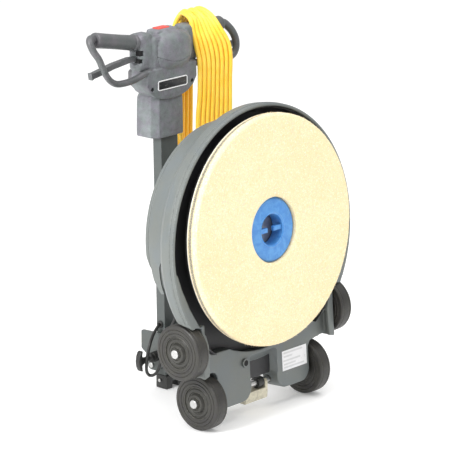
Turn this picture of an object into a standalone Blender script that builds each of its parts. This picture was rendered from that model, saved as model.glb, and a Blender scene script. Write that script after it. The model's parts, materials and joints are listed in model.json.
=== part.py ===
"""High speed floor burnisher with a 20 inch pad, in its storage stance.

The deck is tipped up on its tail, so the pad faces -Y. The handle is folded up behind the deck.
Frame: metres, +Z up, origin on the floor under the middle of the machine. The numbers below count
from the floor under the lower axle, which a root empty then moves forward.
Deck pieces are placed in the deck's own frame: X across, Y back from the pad's face, Z up the deck.
"""

import math

import bmesh
import bpy
from mathutils import Matrix, Vector

# Driving dimensions, metres
FOOTPRINT_Y = 0.1360          # middle of the whole machine, behind the lower axle
GAP = 0.0003                  # between neighbouring pieces
DECK_TILT = math.radians(4.3)
PAD_FACE = Vector((0.0, -0.059, 0.4235))   # centre of the pad's face

PAD_R = 0.254                 # 20 inch pad
PAD_DEPTH = 0.024
PAD_HOLE_R = 0.0725
DRIVER_R = 0.250
DRIVER_BACK = 0.040
RETAINER_R = 0.0715
RETAINER_BORE_R = 0.0345
RETAINER_RECESS = 0.0085

RING_DROP = -0.018            # the skirt's centre is below the pad's centre
RING_R = 0.2925               # widest outer radius of the skirt
LIP_R = 0.2845                # inner radius of the skirt's lip
LIP_BACK = 0.031              # depth of the lip's front edge behind the pad's face
DECK_FRONT = 0.0795           # front of the deck plate, inside the skirt
DECK_BACK = 0.0845

TAIL_FRONT = 0.055
TAIL_BACK = 0.100
TAIL_HALF = 0.1515
TAIL_BOTTOM = -0.378
TAIL_TOP = -0.248
ARM_HALF = 0.2165             # outer end of the arms that carry the upper wheels
NOTCH_HALF = 0.045
NOTCH_TOP = -0.2895
PAD_CLEAR_R = 0.2545          # hollow in the top of the tail, around the driver

HOOD_DROP = -0.012
HOOD_R = 0.2525
MOTOR_R = 0.092
MOTOR_END = 0.248
BELL_BACK = 0.275
SHAFT_R = 0.0122

WHEEL_R = 0.062
WHEEL_WIDTH = 0.036
HUB_PROUD = 0.0050
LOWER_WHEEL = Vector((0.154, 0.0, WHEEL_R))       # inner face, right side
UPPER_WHEEL = Vector((0.219, -0.0052, 0.1918))
AXLE_R = 0.0075
STUB_R = 0.0060

PIVOT = Vector((0.0, 0.256, 0.080))               # handle fold axis, along X
POST_LEAN = math.radians(1.1)
POST_HALF = 0.0275
POST_DEPTH = 0.0255
POST_WALL = 0.002
POST_TOP = 0.610              # along the post from the pivot
POST_BOTTOM = -0.066
CHEEK_IN = 0.0340
CHEEK_OUT = 0.0400
PIN_R = 0.0060

HEAD_FRONT = 0.2427
HEAD_BACK = 0.3050
GRIP_Y = 0.270
GRIP_R = 0.0172
GRIP_SLOPE = {-1: 0.2064, 1: 0.0}                  # rise per metre outward, left and right
GRIP_IN = 0.0933
GRIP_OUT = {-1: 0.2180, 1: 0.1860}
LOOP_R = 0.0100
LEVER_AXIS = Vector((0.068, 0.270, 0.768))        # right side
BUTTON_TOP = 0.8256

COIL_R_TOP = 0.049
COIL_R_LOW = 0.028

# Colours: red, green, blue, then roughness and metallic
FINISH = {
    "housing_grey": (0.16, 0.18, 0.19, 0.55, 0.0),
    "liner_black": (0.02, 0.02, 0.022, 0.7, 0.0),
    "pad_cream": (0.93, 0.85, 0.62, 0.95, 0.0),
    "rim_white": (0.85, 0.85, 0.82, 0.7, 0.0),
    "retainer_blue": (0.10, 0.36, 0.70, 0.4, 0.0),
    "tyre_rubber": (0.07, 0.068, 0.055, 0.8, 0.0),
    "black_plastic": (0.03, 0.03, 0.032, 0.5, 0.0),
    "cable_black": (0.03, 0.03, 0.032, 0.6, 0.0),
    "zinc_steel": (0.75, 0.75, 0.73, 0.3, 1.0),
    "post_paint": (0.13, 0.145, 0.15, 0.45, 0.2),
    "lamination_iron": (0.30, 0.29, 0.28, 0.55, 0.9),
    "head_grey": (0.15, 0.165, 0.17, 0.6, 0.0),
    "button_red": (0.75, 0.07, 0.05, 0.4, 0.0),
    "label_white": (0.88, 0.88, 0.88, 0.5, 0.0),
    "cord_yellow": (0.95, 0.68, 0.03, 0.5, 0.0),
    "copper": (0.75, 0.35, 0.18, 0.35, 1.0),
    "motor_alloy": (0.45, 0.45, 0.46, 0.45, 0.8),
    "cream_plastic": (0.75, 0.72, 0.60, 0.7, 0.0),
}

for old in list(bpy.data.objects):
    bpy.data.objects.remove(old)

parts = bpy.data.collections.new("high_speed_burnisher")
cutters = bpy.data.collections.new("cutters")
bpy.context.scene.collection.children.link(parts)
bpy.context.scene.collection.children.link(cutters)


# Frames

def empty(name, location, tilt=0.0):
    frame = bpy.data.objects.new(name, None)
    frame.location = location
    frame.rotation_euler.x = tilt
    parts.objects.link(frame)
    return frame


root = empty("burnisher_frame", (0, -FOOTPRINT_Y, 0))
deck = empty("deck_frame", PAD_FACE, -DECK_TILT)
handle = empty("handle_pivot", PIVOT)
left_lever = empty("left_lever_axis", (-LEVER_AXIS.x, LEVER_AXIS.y, LEVER_AXIS.z))
right_lever = empty("right_lever_axis", LEVER_AXIS)
floor = empty("floor_frame", (0, 0, 0))
for frame in (deck, handle, left_lever, right_lever, floor):
    frame.parent = root
bpy.context.view_layer.update()


def in_deck(y, z):
    """The deck-frame depth and height of a point given by its Y and Z."""
    back = (y - PAD_FACE.y) * math.cos(DECK_TILT) - (z - PAD_FACE.z) * math.sin(DECK_TILT)
    up = (y - PAD_FACE.y) * math.sin(DECK_TILT) + (z - PAD_FACE.z) * math.cos(DECK_TILT)
    return back, up


# Modelling helpers. Each returns an object whose place is given in the frame of its parent.

def material(finish):
    found = bpy.data.materials.get(finish)
    if found:
        return found
    made = bpy.data.materials.new(finish)
    made.use_nodes = True
    red, green, blue, roughness, metallic = FINISH[finish]
    shader = made.node_tree.nodes["Principled BSDF"]
    shader.inputs["Base Color"].default_value = (red, green, blue, 1)
    shader.inputs["Roughness"].default_value = roughness
    shader.inputs["Metallic"].default_value = metallic
    return made


def new_object(name, mesh, location=(0, 0, 0), rotation=(0, 0, 0)):
    obj = bpy.data.objects.new(name, mesh)
    parts.objects.link(obj)
    obj.location = location
    obj.rotation_euler = rotation
    return obj


def mesh_from(name, bm):
    mesh = bpy.data.meshes.new(name)
    bmesh.ops.recalc_face_normals(bm, faces=bm.faces[:])
    bm.to_mesh(mesh)
    bm.free()
    return mesh


def box(name, low, high, bevel=0.0, segments=2):
    """A box between two corners, with its edges rounded by bevel."""
    low, high = Vector(low), Vector(high)
    bm = bmesh.new()
    bmesh.ops.create_cube(bm, size=1.0)
    bmesh.ops.scale(bm, vec=high - low, verts=bm.verts[:])
    obj = new_object(name, mesh_from(name, bm), (low + high) / 2)
    if bevel:
        soften(obj, bevel, segments)
    return obj


def soften(obj, width, segments=2):
    mod = obj.modifiers.new("Bevel", "BEVEL")
    mod.width = width
    mod.segments = segments
    mod.limit_method = "ANGLE"
    return obj


AXIS_TURN = {"X": (0, math.pi / 2, 0), "Y": (-math.pi / 2, 0, 0), "Z": (0, 0, 0)}


def turned(name, profile, centre, axis="Y", steps=48, ring=False):
    """A profile of (radius, height) turned about an axis. Its outer side runs from high to low."""
    mesh = bpy.data.meshes.new(name)
    edges = [(i, i + 1) for i in range(len(profile) - 1)]
    if ring:
        edges.append((len(profile) - 1, 0))
    mesh.from_pydata([(r, 0, h) for r, h in profile], edges, [])
    obj = new_object(name, mesh, centre, AXIS_TURN[axis])
    screw = obj.modifiers.new("Screw", "SCREW")
    screw.steps = screw.render_steps = steps
    screw.use_merge_vertices = True
    screw.merge_threshold = 0.00001
    screw.use_smooth_shade = True
    return obj


def disc(name, radius, low, high, centre, axis="Y", steps=32):
    return turned(name, [(0, high), (radius, high), (radius, low), (0, low)], centre, axis, steps)


def washer(name, radius, bore, low, high, centre, axis="Y", steps=32):
    profile = [(radius, high), (radius, low), (bore, low), (bore, high)]
    return turned(name, profile, centre, axis, steps, ring=True)


def rounded(corners, segments=5):
    """An outline whose corners (x, y, radius) are replaced by arcs."""
    points = []
    for i, (x, y, radius) in enumerate(corners):
        here = Vector((x, y))
        before = Vector(corners[i - 1][:2]) - here
        after = Vector(corners[(i + 1) % len(corners)][:2]) - here
        if radius <= 0:
            points.append(here)
            continue
        half = before.angle(after) / 2
        reach = radius / math.tan(half)
        centre = here + (before.normalized() + after.normalized()).normalized() * radius / math.sin(half)
        start = here + before.normalized() * reach - centre
        end = here + after.normalized() * reach - centre
        turn = start.angle_signed(end)
        for k in range(segments + 1):
            spin = Matrix.Rotation(-turn * k / segments, 2)
            points.append(centre + spin @ start)
    return points


PLATE_TURN = {"X": (math.pi / 2, 0, math.pi / 2), "Y": (math.pi / 2, 0, 0), "Z": (0, 0, 0)}


def plate(name, outline, low, high, across="Y"):
    """A flat outline extruded between low and high along one axis. Along X the outline is (y, z),
    along Y it is (x, z) and along Z it is (x, y)."""
    curve = bpy.data.curves.new(name, "CURVE")
    curve.dimensions = "2D"
    curve.fill_mode = "BOTH"
    curve.extrude = (high - low) / 2
    spline = curve.splines.new("POLY")
    spline.points.add(len(outline) - 1)
    for point, xy in zip(spline.points, outline):
        point.co = (xy[0], xy[1], 0, 1)
    spline.use_cyclic_u = True
    middle = (low + high) / 2
    place = {"X": (middle, 0, 0), "Y": (0, middle, 0), "Z": (0, 0, middle)}[across]
    return as_mesh(new_object(name, curve, place, PLATE_TURN[across]))


def tube(name, path, radius, closed=False, sides=2):
    curve = bpy.data.curves.new(name, "CURVE")
    curve.dimensions = "3D"
    curve.bevel_depth = radius
    curve.bevel_resolution = sides
    curve.use_fill_caps = True
    spline = curve.splines.new("POLY")
    spline.points.add(len(path) - 1)
    for point, xyz in zip(spline.points, path):
        point.co = (*xyz, 1)
    spline.use_cyclic_u = closed
    return as_mesh(new_object(name, curve))


def evaluated_mesh(obj):
    bpy.context.view_layer.update()
    graph = bpy.context.evaluated_depsgraph_get()
    return bpy.data.meshes.new_from_object(obj.evaluated_get(graph))


def as_mesh(obj):
    """Replace a curve, or an object with modifiers, by a closed mesh of what it shows."""
    mesh = evaluated_mesh(obj)
    bm = bmesh.new()
    bm.from_mesh(mesh)
    bmesh.ops.remove_doubles(bm, verts=bm.verts[:], dist=0.00001)
    bmesh.ops.recalc_face_normals(bm, faces=bm.faces[:])
    bm.to_mesh(mesh)
    bm.free()
    name = obj.name
    place = obj.matrix_world.copy()
    bpy.data.objects.remove(obj)
    made = new_object(name, mesh)
    made.matrix_world = place
    return made


def as_cutter(obj):
    parts.objects.unlink(obj)
    cutters.objects.link(obj)
    obj.hide_render = True
    obj.display_type = "WIRE"
    return obj


def combine(obj, other, operation):
    """Union with, or subtract, another object that stays as a hidden guide."""
    as_cutter(other)
    mod = obj.modifiers.new(operation.title(), "BOOLEAN")
    mod.operation = operation
    mod.object = other
    mod.solver = "EXACT"
    return obj


def cut(obj, *others):
    for other in others:
        combine(obj, other, "DIFFERENCE")
    return obj


def join(obj, *others):
    for other in others:
        combine(obj, other, "UNION")
    return obj


def finish(obj, look, frame=floor):
    """Give a piece its material and hang it, with its guides, from a frame."""
    obj.data.materials.clear()
    obj.data.materials.append(material(look))
    hang(obj, frame)
    return obj


def hang(obj, frame):
    """Place the object, and the guides its modifiers use, in the coordinates of a frame."""
    if obj.parent is not None:
        return
    obj.parent = frame
    if frame is not deck:
        obj.matrix_parent_inverse = frame.matrix_basis.inverted()
    for mod in obj.modifiers:
        if mod.type == "BOOLEAN":
            hang(mod.object, frame)


# Deck

def ring_profile():
    return [
        (0.100, DECK_BACK), (0.262, DECK_BACK), (0.281, 0.0795), (0.2905, 0.065), (RING_R, 0.048),
        (0.2905, LIP_BACK), (LIP_R, LIP_BACK), (LIP_R, 0.068), (0.270, DECK_FRONT), (0.100, DECK_FRONT),
    ]


def tail_outline():
    """One half of the tail and its arm, mirrored: wide arms above, narrow legs with a notch below."""
    right = [
        (ARM_HALF, -0.190, 0.004), (ARM_HALF, -0.283, 0.020), (0.158, -0.291, 0.006),
        (TAIL_HALF, -0.300, 0.004), (TAIL_HALF, TAIL_BOTTOM, 0.030),
        (NOTCH_HALF - 0.003, TAIL_BOTTOM, 0.030), (NOTCH_HALF, NOTCH_TOP, 0.012),
    ]
    left = [(-x, v, radius) for x, v, radius in reversed(right)]
    return rounded(right + left)


def below_pad_zone(margin):
    """The space that the tail's front fills: below TAIL_TOP and outside the driver's sweep."""
    zone = box("zone", (-0.3, 0, -0.45), (0.3, DECK_FRONT + 0.0005, TAIL_TOP + margin))
    sweep = disc("sweep", PAD_CLEAR_R - margin, -0.05, 0.12, (0, 0, RING_DROP), steps=64)
    return cut(zone, sweep)


def cut_arches(piece, radius, inset):
    """Clear the space around the four wheels, from inset inside their inner faces outward."""
    for side in (-1, 1):
        for place in (UPPER_WHEEL, LOWER_WHEEL):
            back, up = in_deck(place.y, place.z)
            low, high = sorted((side * (place.x - inset), side * (place.x + 0.12)))
            cut(piece, disc("arch", radius, low, high, (0, back, up), "X", 32))


def deck_housing():
    tail = soften(plate("tail_block", tail_outline(), TAIL_FRONT, TAIL_BACK), 0.003, 1)
    hollow = disc("hollow", LIP_R + 0.003, -0.05, 0.082, (0, 0, RING_DROP), steps=64)
    cut(tail, cut(hollow, below_pad_zone(0.0)))
    housing = turned("deck_housing", ring_profile(), (0, 0, RING_DROP), steps=72, ring=True)
    lip_end = [
        (-0.02, -0.205), (LIP_BACK, -0.205), (TAIL_FRONT, -0.252), (TAIL_FRONT, -0.36), (-0.02, -0.36),
    ]
    cut(housing, plate("lip_end", lip_end, -0.30, 0.30, "X"))
    join(housing, tail)
    for side in (-1, 1):
        low, high = sorted((side * 0.056, side * (TAIL_HALF - 0.008)))
        cut(housing, box("pocket", (low, TAIL_FRONT + 0.007, -0.366), (high, 0.13, -0.296)))
    cut_arches(housing, WHEEL_R + 0.004, 0.0022)
    back, up = in_deck(LOWER_WHEEL.y, LOWER_WHEEL.z)
    cut(housing, disc("axle_bore", AXLE_R + 0.0004, -0.2, 0.2, (0, back, up), "X", 16))
    back, up = in_deck(UPPER_WHEEL.y, UPPER_WHEEL.z)
    for side in (-1, 1):
        low, high = sorted((side * 0.2066, side * 0.26))
        cut(housing, disc("stub_bore", STUB_R + 0.0004, low, high, (0, back, up), "X", 16))
    cut(housing, disc("tail_hole", 0.0085, 0.04, TAIL_FRONT + 0.006, (-0.062, 0, -0.291), steps=16))
    return finish(housing, "housing_grey", deck)


def inner_shroud():
    """Black liner inside the skirt, open at the middle for the driver hub."""
    radius = LIP_R - 0.001
    profile = [
        (0.060, 0.0790), (0.2695, 0.0790), (radius, 0.0675), (radius, 0.040),
        (radius - 0.002, 0.040), (radius - 0.002, 0.0668), (0.2688, 0.0768), (0.060, 0.0768),
    ]
    liner = turned("inner_shroud", profile, (0, 0, RING_DROP), steps=56, ring=True)
    cut(liner, below_pad_zone(0.0006))
    cut_arches(liner, WHEEL_R + 0.008, 0.0040)
    return finish(liner, "liner_black", deck)


def motor_hood():
    bore = MOTOR_R + 0.016
    profile = [
        (bore, 0.1680), (0.230, 0.1680), (0.2405, 0.1600), (0.2405, 0.1530),
        (0.2385, 0.1515), (0.2440, 0.1470), (HOOD_R, DECK_BACK + GAP),
        (0.2490, DECK_BACK + GAP), (0.2400, 0.1450), (0.2345, 0.1600), (0.2280, 0.1645), (bore, 0.1645),
    ]
    hood = turned("motor_hood", profile, (0, 0, HOOD_DROP), steps=60, ring=True)
    opening = [(0.070, 0.035), (0.122, -0.112), (0.20, -0.124), (0.20, -0.30), (0.070, -0.30)]
    cut(hood, plate("hood_cut", opening, -0.30, 0.30, "X"))
    return finish(hood, "housing_grey", deck)


def rating_label():
    outline = rounded([
        (0.061, -0.295, 0.002), (0.143, -0.295, 0.002), (0.143, -0.340, 0.002), (0.061, -0.340, 0.002),
    ], 2)
    label = plate("rating_label", outline, TAIL_FRONT - GAP - 0.0005, TAIL_FRONT - GAP)
    return finish(label, "label_white", deck)


# Pad and drive

def drive():
    centre = (0, 0, 0)
    pad = [
        (PAD_R, PAD_DEPTH), (PAD_R, 0.006), (PAD_R - 0.002, 0.002), (PAD_R - 0.007, 0.0),
        (PAD_HOLE_R + 0.003, 0.0), (PAD_HOLE_R, 0.003), (PAD_HOLE_R, PAD_DEPTH),
    ]
    finish(turned("burnishing_pad", pad, centre, steps=60, ring=True), "pad_cream", deck)
    face_back = PAD_DEPTH + GAP + 0.002
    grip_face = washer("driver_grip_face", 0.2532, 0.0385, PAD_DEPTH + GAP, face_back, centre, steps=48)
    finish(grip_face, "rim_white", deck)
    driver = [
        (0.150, DRIVER_BACK), (DRIVER_R, DRIVER_BACK - 0.005), (DRIVER_R, face_back + GAP),
        (0.0385, face_back + GAP), (0.0385, DRIVER_BACK),
    ]
    finish(turned("pad_driver", driver, centre, steps=48, ring=True), "black_plastic", deck)

    collar_r = RETAINER_BORE_R + 0.0032
    retainer = turned("pad_retainer", [
        (collar_r, 0.0385), (collar_r, PAD_DEPTH - GAP), (RETAINER_R, PAD_DEPTH - GAP),
        (RETAINER_R, RETAINER_RECESS + 0.002), (RETAINER_R - 0.002, RETAINER_RECESS),
        (RETAINER_BORE_R, RETAINER_RECESS), (RETAINER_BORE_R, 0.0385),
    ], centre, steps=36, ring=True)
    for side in (-1, 1):
        low, high = sorted((side * 0.0095, side * 0.0355))
        join(retainer, box("tab", (low, 0.0125, -0.0053), (high, 0.0205, 0.0053), 0.001, 1))
    finish(retainer, "retainer_blue", deck)

    socket = SHAFT_R + GAP
    hub = [
        (0.0, 0.0495), (socket, 0.0495), (socket, 0.0720), (0.0280, 0.0720), (0.0280, 0.0478),
        (0.0600, 0.0478), (0.0600, DRIVER_BACK + 0.0006), (0.0, DRIVER_BACK + 0.0006),
    ]
    finish(turned("driver_hub", hub, centre, steps=28), "motor_alloy", deck)


def motor():
    centre = (0, 0, 0)
    case = [
        (MOTOR_R, MOTOR_END), (MOTOR_R, 0.0940), (0.125, 0.0940), (0.125, DECK_BACK + GAP),
        (0.030, DECK_BACK + GAP), (0.030, 0.0940), (MOTOR_R - 0.004, 0.0940), (MOTOR_R - 0.004, MOTOR_END),
    ]
    finish(turned("motor_case", case, centre, steps=36, ring=True), "motor_alloy", deck)
    bell = [
        (0.0, BELL_BACK), (0.070, BELL_BACK), (MOTOR_R, BELL_BACK - 0.010), (MOTOR_R, MOTOR_END + GAP),
        (MOTOR_R - 0.004, MOTOR_END + GAP), (MOTOR_R - 0.004, 0.262), (0.0205, 0.262),
        (0.0205, 0.2695), (0.0, 0.2695),
    ]
    finish(turned("motor_end_bell", bell, centre, steps=36), "motor_alloy", deck)
    stator = [
        (0.076, 0.2080), (MOTOR_R - 0.0045, 0.1960), (MOTOR_R - 0.0045, 0.1180),
        (0.076, 0.1040), (0.056, 0.1040), (0.056, 0.2080),
    ]
    finish(turned("stator", stator, centre, steps=28, ring=True), "copper", deck)
    finish(washer("rotor", 0.0535, SHAFT_R + GAP, 0.120, 0.194, centre, steps=28), "lamination_iron", deck)
    shaft = [
        (0, 0.2680), (0.0088, 0.2680), (0.0088, 0.2440), (SHAFT_R, 0.2440), (SHAFT_R, 0.0500), (0, 0.0500),
    ]
    finish(turned("motor_shaft", shaft, centre, steps=20), "zinc_steel", deck)
    front = washer("front_bearing", 0.0297, SHAFT_R + GAP, 0.0856, 0.0935, centre, steps=24)
    finish(front, "zinc_steel", deck)
    rear = washer("rear_bearing", 0.0202, 0.0091, 0.2622, 0.2690, centre, steps=20)
    finish(rear, "zinc_steel", deck)
    fan = washer("cooling_fan", 0.030, SHAFT_R + GAP, 0.212, 0.238, centre, steps=20)
    for blade in range(8):
        paddle = box("blade", (0.024, 0.214, -0.001), (0.080, 0.236, 0.001))
        turn = Matrix.Rotation(2 * math.pi * blade / 8, 4, "Y")
        paddle.matrix_world = turn @ Matrix.Translation(paddle.location)
        join(fan, paddle)
    finish(fan, "black_plastic", deck)


# Wheels and axles

def tyre_profile():
    half = WHEEL_WIDTH / 2
    return [
        (0.0375, half - 0.001), (0.052, half), (0.0595, half - 0.004), (WHEEL_R, half - 0.010),
        (WHEEL_R, -half + 0.010), (0.0595, -half + 0.004), (0.052, -half), (0.0375, -half + 0.001),
    ]


def wheel(tag, inner_face, side, bore):
    """Tyre and hub of one wheel. inner_face is the right-hand wheel's inner face centre."""
    middle = Vector((side * (inner_face.x + WHEEL_WIDTH / 2), inner_face.y, inner_face.z))
    tyre = turned(f"{tag}_tyre", tyre_profile(), middle, "X", 32, ring=True)
    finish(tyre, "tyre_rubber")
    half = WHEEL_WIDTH / 2
    web, proud = half - 0.004, half + HUB_PROUD
    profile = [
        (0.015, proud), (0.019, proud - 0.003), (0.0205, web), (0.0370, web),
        (0.0370, -web), (0.019, -half), (bore, -half), (bore, proud),
    ]
    if side < 0:
        profile = [(radius, -height) for radius, height in reversed(profile)]
    finish(turned(f"{tag}_hub", profile, middle, "X", 24, ring=True), "black_plastic")


def bolt_profile(head_r, head, shank_r, shank):
    """A bolt whose shank runs down from height 0, with a dimple in its head."""
    return [
        (0, head - 0.0012), (head_r * 0.4, head), (head_r * 0.9, head),
        (head_r, head * 0.8), (head_r, 0), (shank_r, 0), (shank_r, -shank), (0, -shank),
    ]


def outward(profile, side):
    """Turn a profile built for +X to face -X, keeping its outer side running high to low."""
    return profile if side > 0 else [(radius, -height) for radius, height in reversed(profile)]


def wheels():
    for name, side in (("left", -1), ("right", 1)):
        wheel(f"upper_{name}", UPPER_WHEEL, side, STUB_R + 0.0004)
        wheel(f"lower_{name}", LOWER_WHEEL, side, AXLE_R + 0.0004)
        face = UPPER_WHEEL.x + WHEEL_WIDTH + HUB_PROUD + GAP
        place = (side * face, UPPER_WHEEL.y, UPPER_WHEEL.z)
        profile = outward(bolt_profile(0.010, 0.0045, STUB_R, face - 0.2070), side)
        finish(turned(f"upper_{name}_wheel_bolt", profile, place, "X", 16), "zinc_steel")
    face = LOWER_WHEEL.x + WHEEL_WIDTH + HUB_PROUD + GAP
    head = bolt_profile(0.010, 0.0050, AXLE_R, 2 * face)
    right_end = (face, LOWER_WHEEL.y, LOWER_WHEEL.z)
    finish(turned("lower_axle", head, right_end, "X", 16), "zinc_steel")
    cap = [
        (0, 0.0038), (0.004, 0.0050), (0.009, 0.0050), (0.010, 0.0040), (0.010, 0), (0, 0),
    ]
    left_end = (-face - GAP, LOWER_WHEEL.y, LOWER_WHEEL.z)
    finish(turned("axle_cap", outward(cap, -1), left_end, "X", 16), "zinc_steel")
    collar = washer("axle_collar", 0.013, AXLE_R + 0.0004, 0.002, 0.020, (0, 0, WHEEL_R), "X", 16)
    finish(collar, "black_plastic")
    skid = plate("tail_skid", rounded([
        (-0.011, 0.023, 0.004), (0.011, 0.023, 0.004), (0.012, 0.040, 0.006), (0.012, 0.068, 0.009),
        (-0.012, 0.068, 0.009), (-0.012, 0.040, 0.006),
    ], 4), -0.041, 0.031, "X")
    cut(skid, box("skid_gap", (-0.033, -0.03, 0.0485), (0.023, 0.03, 0.09)))
    cut(skid, disc("skid_bore", AXLE_R + 0.0004, -0.06, 0.06, (0, 0, WHEEL_R), "X", 16))
    finish(skid, "cream_plastic")


# Handle bracket, on the deck

def bracket():
    def deck_outline(points):
        return rounded([(*in_deck(y, z), radius) for y, z, radius in points], 4)

    yoke = plate("handle_bracket", rounded([
        (-0.052, -0.200, 0.004), (0.052, -0.200, 0.004), (0.052, -0.287, 0.004), (-0.052, -0.287, 0.004),
    ], 2), TAIL_BACK + GAP, TAIL_BACK + 0.006)
    for name, side in (("left", -1), ("right", 1)):
        outline = deck_outline([
            (0.0290, 0.220, 0.003), (0.110, 0.190, 0.030), (0.235, 0.134, 0.030), (0.3057, 0.1310, 0.004),
            (0.3057, 0.0880, 0.006), (0.2900, 0.0780, 0.006), (0.2835, 0.0430, 0.010),
            (0.2600, 0.0430, 0.010), (0.2350, 0.0620, 0.012), (0.120, 0.110, 0.030), (0.0350, 0.1420, 0.003),
        ])
        low, high = sorted((side * CHEEK_IN, side * CHEEK_OUT))
        cheek = plate(f"{name}_cheek", outline, low, high, "X")
        cut(cheek, box("cheek_trim", (-0.1, 0.0, -0.40), (0.1, TAIL_BACK + 0.002, -0.10)))
        for y, z, radius in ((PIVOT.y, PIVOT.z, PIN_R), (0.2730, 0.0545, 0.004)):
            back, up = in_deck(y, z)
            cut(cheek, disc("cheek_bore", radius + 0.0004, -0.1, 0.1, (0, back, up), "X", 16))
        join(yoke, cheek)
    finish(yoke, "post_paint", deck)
    reach = CHEEK_OUT + GAP
    pin = [
        (0, reach + 0.006), (0.009, reach + 0.006), (0.010, reach + 0.005), (0.010, reach),
        (PIN_R, reach), (PIN_R, -0.0590), (0, -0.0590),
    ]
    finish(turned("pivot_pin", pin, PIVOT, "X", 16), "zinc_steel")
    boss = washer("clamp_boss", 0.0118, PIN_R + 0.0004, -0.0590, -reach, PIVOT, "X", 20)
    finish(boss, "black_plastic")
    lug_bolt = bolt_profile(0.0065, 0.004, 0.004, reach - CHEEK_IN + 0.0007)
    place = (-reach, 0.2730, 0.0545)
    finish(turned("lug_bolt", outward(lug_bolt, -1), place, "X", 16), "zinc_steel")


def clamp_knob():
    """Crescent T-knob on the end of the pivot pin."""
    wing = rounded([
        (-0.004, 0.0245, 0.003), (0.005, 0.0215, 0.004), (0.0085, 0.008, 0.004), (0.0085, -0.008, 0.004),
        (0.005, -0.0215, 0.004), (-0.004, -0.0245, 0.003), (-0.0105, -0.012, 0.012), (-0.0105, 0.012, 0.012),
    ], 4)
    knob = plate("clamp_knob", wing, -0.006, 0.006)
    knob.location = (-0.1000, PIVOT.y, PIVOT.z)
    soften(knob, 0.002, 1)
    join(knob, disc("knob_neck", 0.0068, -0.0975, -0.0594, PIVOT, "X", 16))
    return finish(knob, "black_plastic")


# Handle post

def post_box(name, grow, bottom, top):
    """A box along the leaning post, grown sideways by grow."""
    half = POST_HALF + grow
    deep = POST_DEPTH / 2 + grow
    piece = box(name, (-half, -deep, bottom), (half, deep, top))
    lean = Matrix.Translation(PIVOT) @ Matrix.Rotation(-POST_LEAN, 4, "X")
    piece.matrix_world = lean @ Matrix.Translation(piece.location)
    return piece


def cable_hole():
    return Vector((-POST_HALF, 0.2580, 0.150))


def post():
    tube_box = soften(post_box("handle_post", 0.0, POST_BOTTOM, POST_TOP), 0.002, 2)
    cut(tube_box, post_box("post_hollow", -POST_WALL, -0.2, 0.8))
    cut(tube_box, disc("post_bore", 0.0102, -0.1, 0.1, PIVOT, "X", 16))
    cut(tube_box, disc("cable_bore", 0.0066, -0.045, -0.015, (0, cable_hole().y, cable_hole().z), "X", 20))
    finish(tube_box, "post_paint", handle)
    bush = washer("pivot_bush", 0.0098, PIN_R + 0.0004, GAP - CHEEK_IN, CHEEK_IN - GAP, PIVOT, "X", 16)
    finish(bush, "zinc_steel", handle)

    foot = box("end_foot", (-0.0295, 0.2380, 0.0), (0.0295, 0.2705, 0.0320), 0.0015, 2)
    cut(foot, post_box("foot_socket", 0.0004, POST_BOTTOM - 0.0004, 0.0))
    cut(foot, disc("foot_bore", 0.0026, -0.035, -0.0275, (0, 0.258, 0.0185), "X", 16))
    finish(foot, "black_plastic", handle)
    bolt = bolt_profile(0.0040, 0.0030, 0.0022, 0.0016)
    finish(turned("foot_bolt", outward(bolt, -1), (-0.0298, 0.258, 0.0185), "X", 16), "zinc_steel", handle)

    grommet = turned("cable_grommet", [
        (0.0040, -0.0250), (0.0062, -0.0250), (0.0062, -0.0278), (0.0090, -0.0278), (0.0085, -0.0310),
        (0.0040, -0.0310),
    ], (0, cable_hole().y, cable_hole().z), "X", 16, ring=True)
    finish(grommet, "black_plastic", handle)


def cable_path():
    """The loop from beside the grommet, down past the bracket and up under the motor."""
    corners = [
        (-0.0340, 0.2573, 0.1493), (-0.0480, 0.2520, 0.1440), (-0.0660, 0.2455, 0.1350),
        (-0.0800, 0.2405, 0.1205), (-0.0870, 0.2415, 0.0980), (-0.0870, 0.2455, 0.0720),
        (-0.0800, 0.2500, 0.0500), (-0.0710, 0.2490, 0.0418), (-0.0660, 0.2405, 0.0450),
        (-0.0660, 0.2290, 0.0600), (-0.0660, 0.2160, 0.1000), (-0.0640, 0.1960, 0.1550),
        (-0.0560, 0.1650, 0.2200), (-0.0460, 0.1360, 0.2800), (-0.0400, 0.1250, 0.3180),
    ]
    return smooth_path([Vector(corner) for corner in corners], 2)


def smooth_path(points, pieces):
    """Catmull-Rom points through the given ones, with pieces steps between neighbours."""
    out = []
    for i in range(len(points) - 1):
        before = points[max(i - 1, 0)]
        start, end = points[i], points[i + 1]
        after = points[min(i + 2, len(points) - 1)]
        for k in range(pieces):
            t = k / pieces
            out.append(0.5 * (
                2 * start + (end - before) * t + (2 * before - 5 * start + 4 * end - after) * t ** 2
                + (3 * start - before - 3 * end + after) * t ** 3
            ))
    out.append(points[-1])
    return out


def motor_cable():
    finish(tube("motor_cable", cable_path(), 0.0036, sides=1), "cable_black")


# Control head

def shield_outline():
    """Front outline of the head's lower half: straight sides that sweep in to a rounded chin."""
    half = [
        (0.0790, 0.7420), (0.0800, 0.7080), (0.0690, 0.6910), (0.0500, 0.6780), (0.0250, 0.6705),
    ]
    return half + [(0.0, 0.6690)] + [(-x, z) for x, z in reversed(half)]


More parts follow.
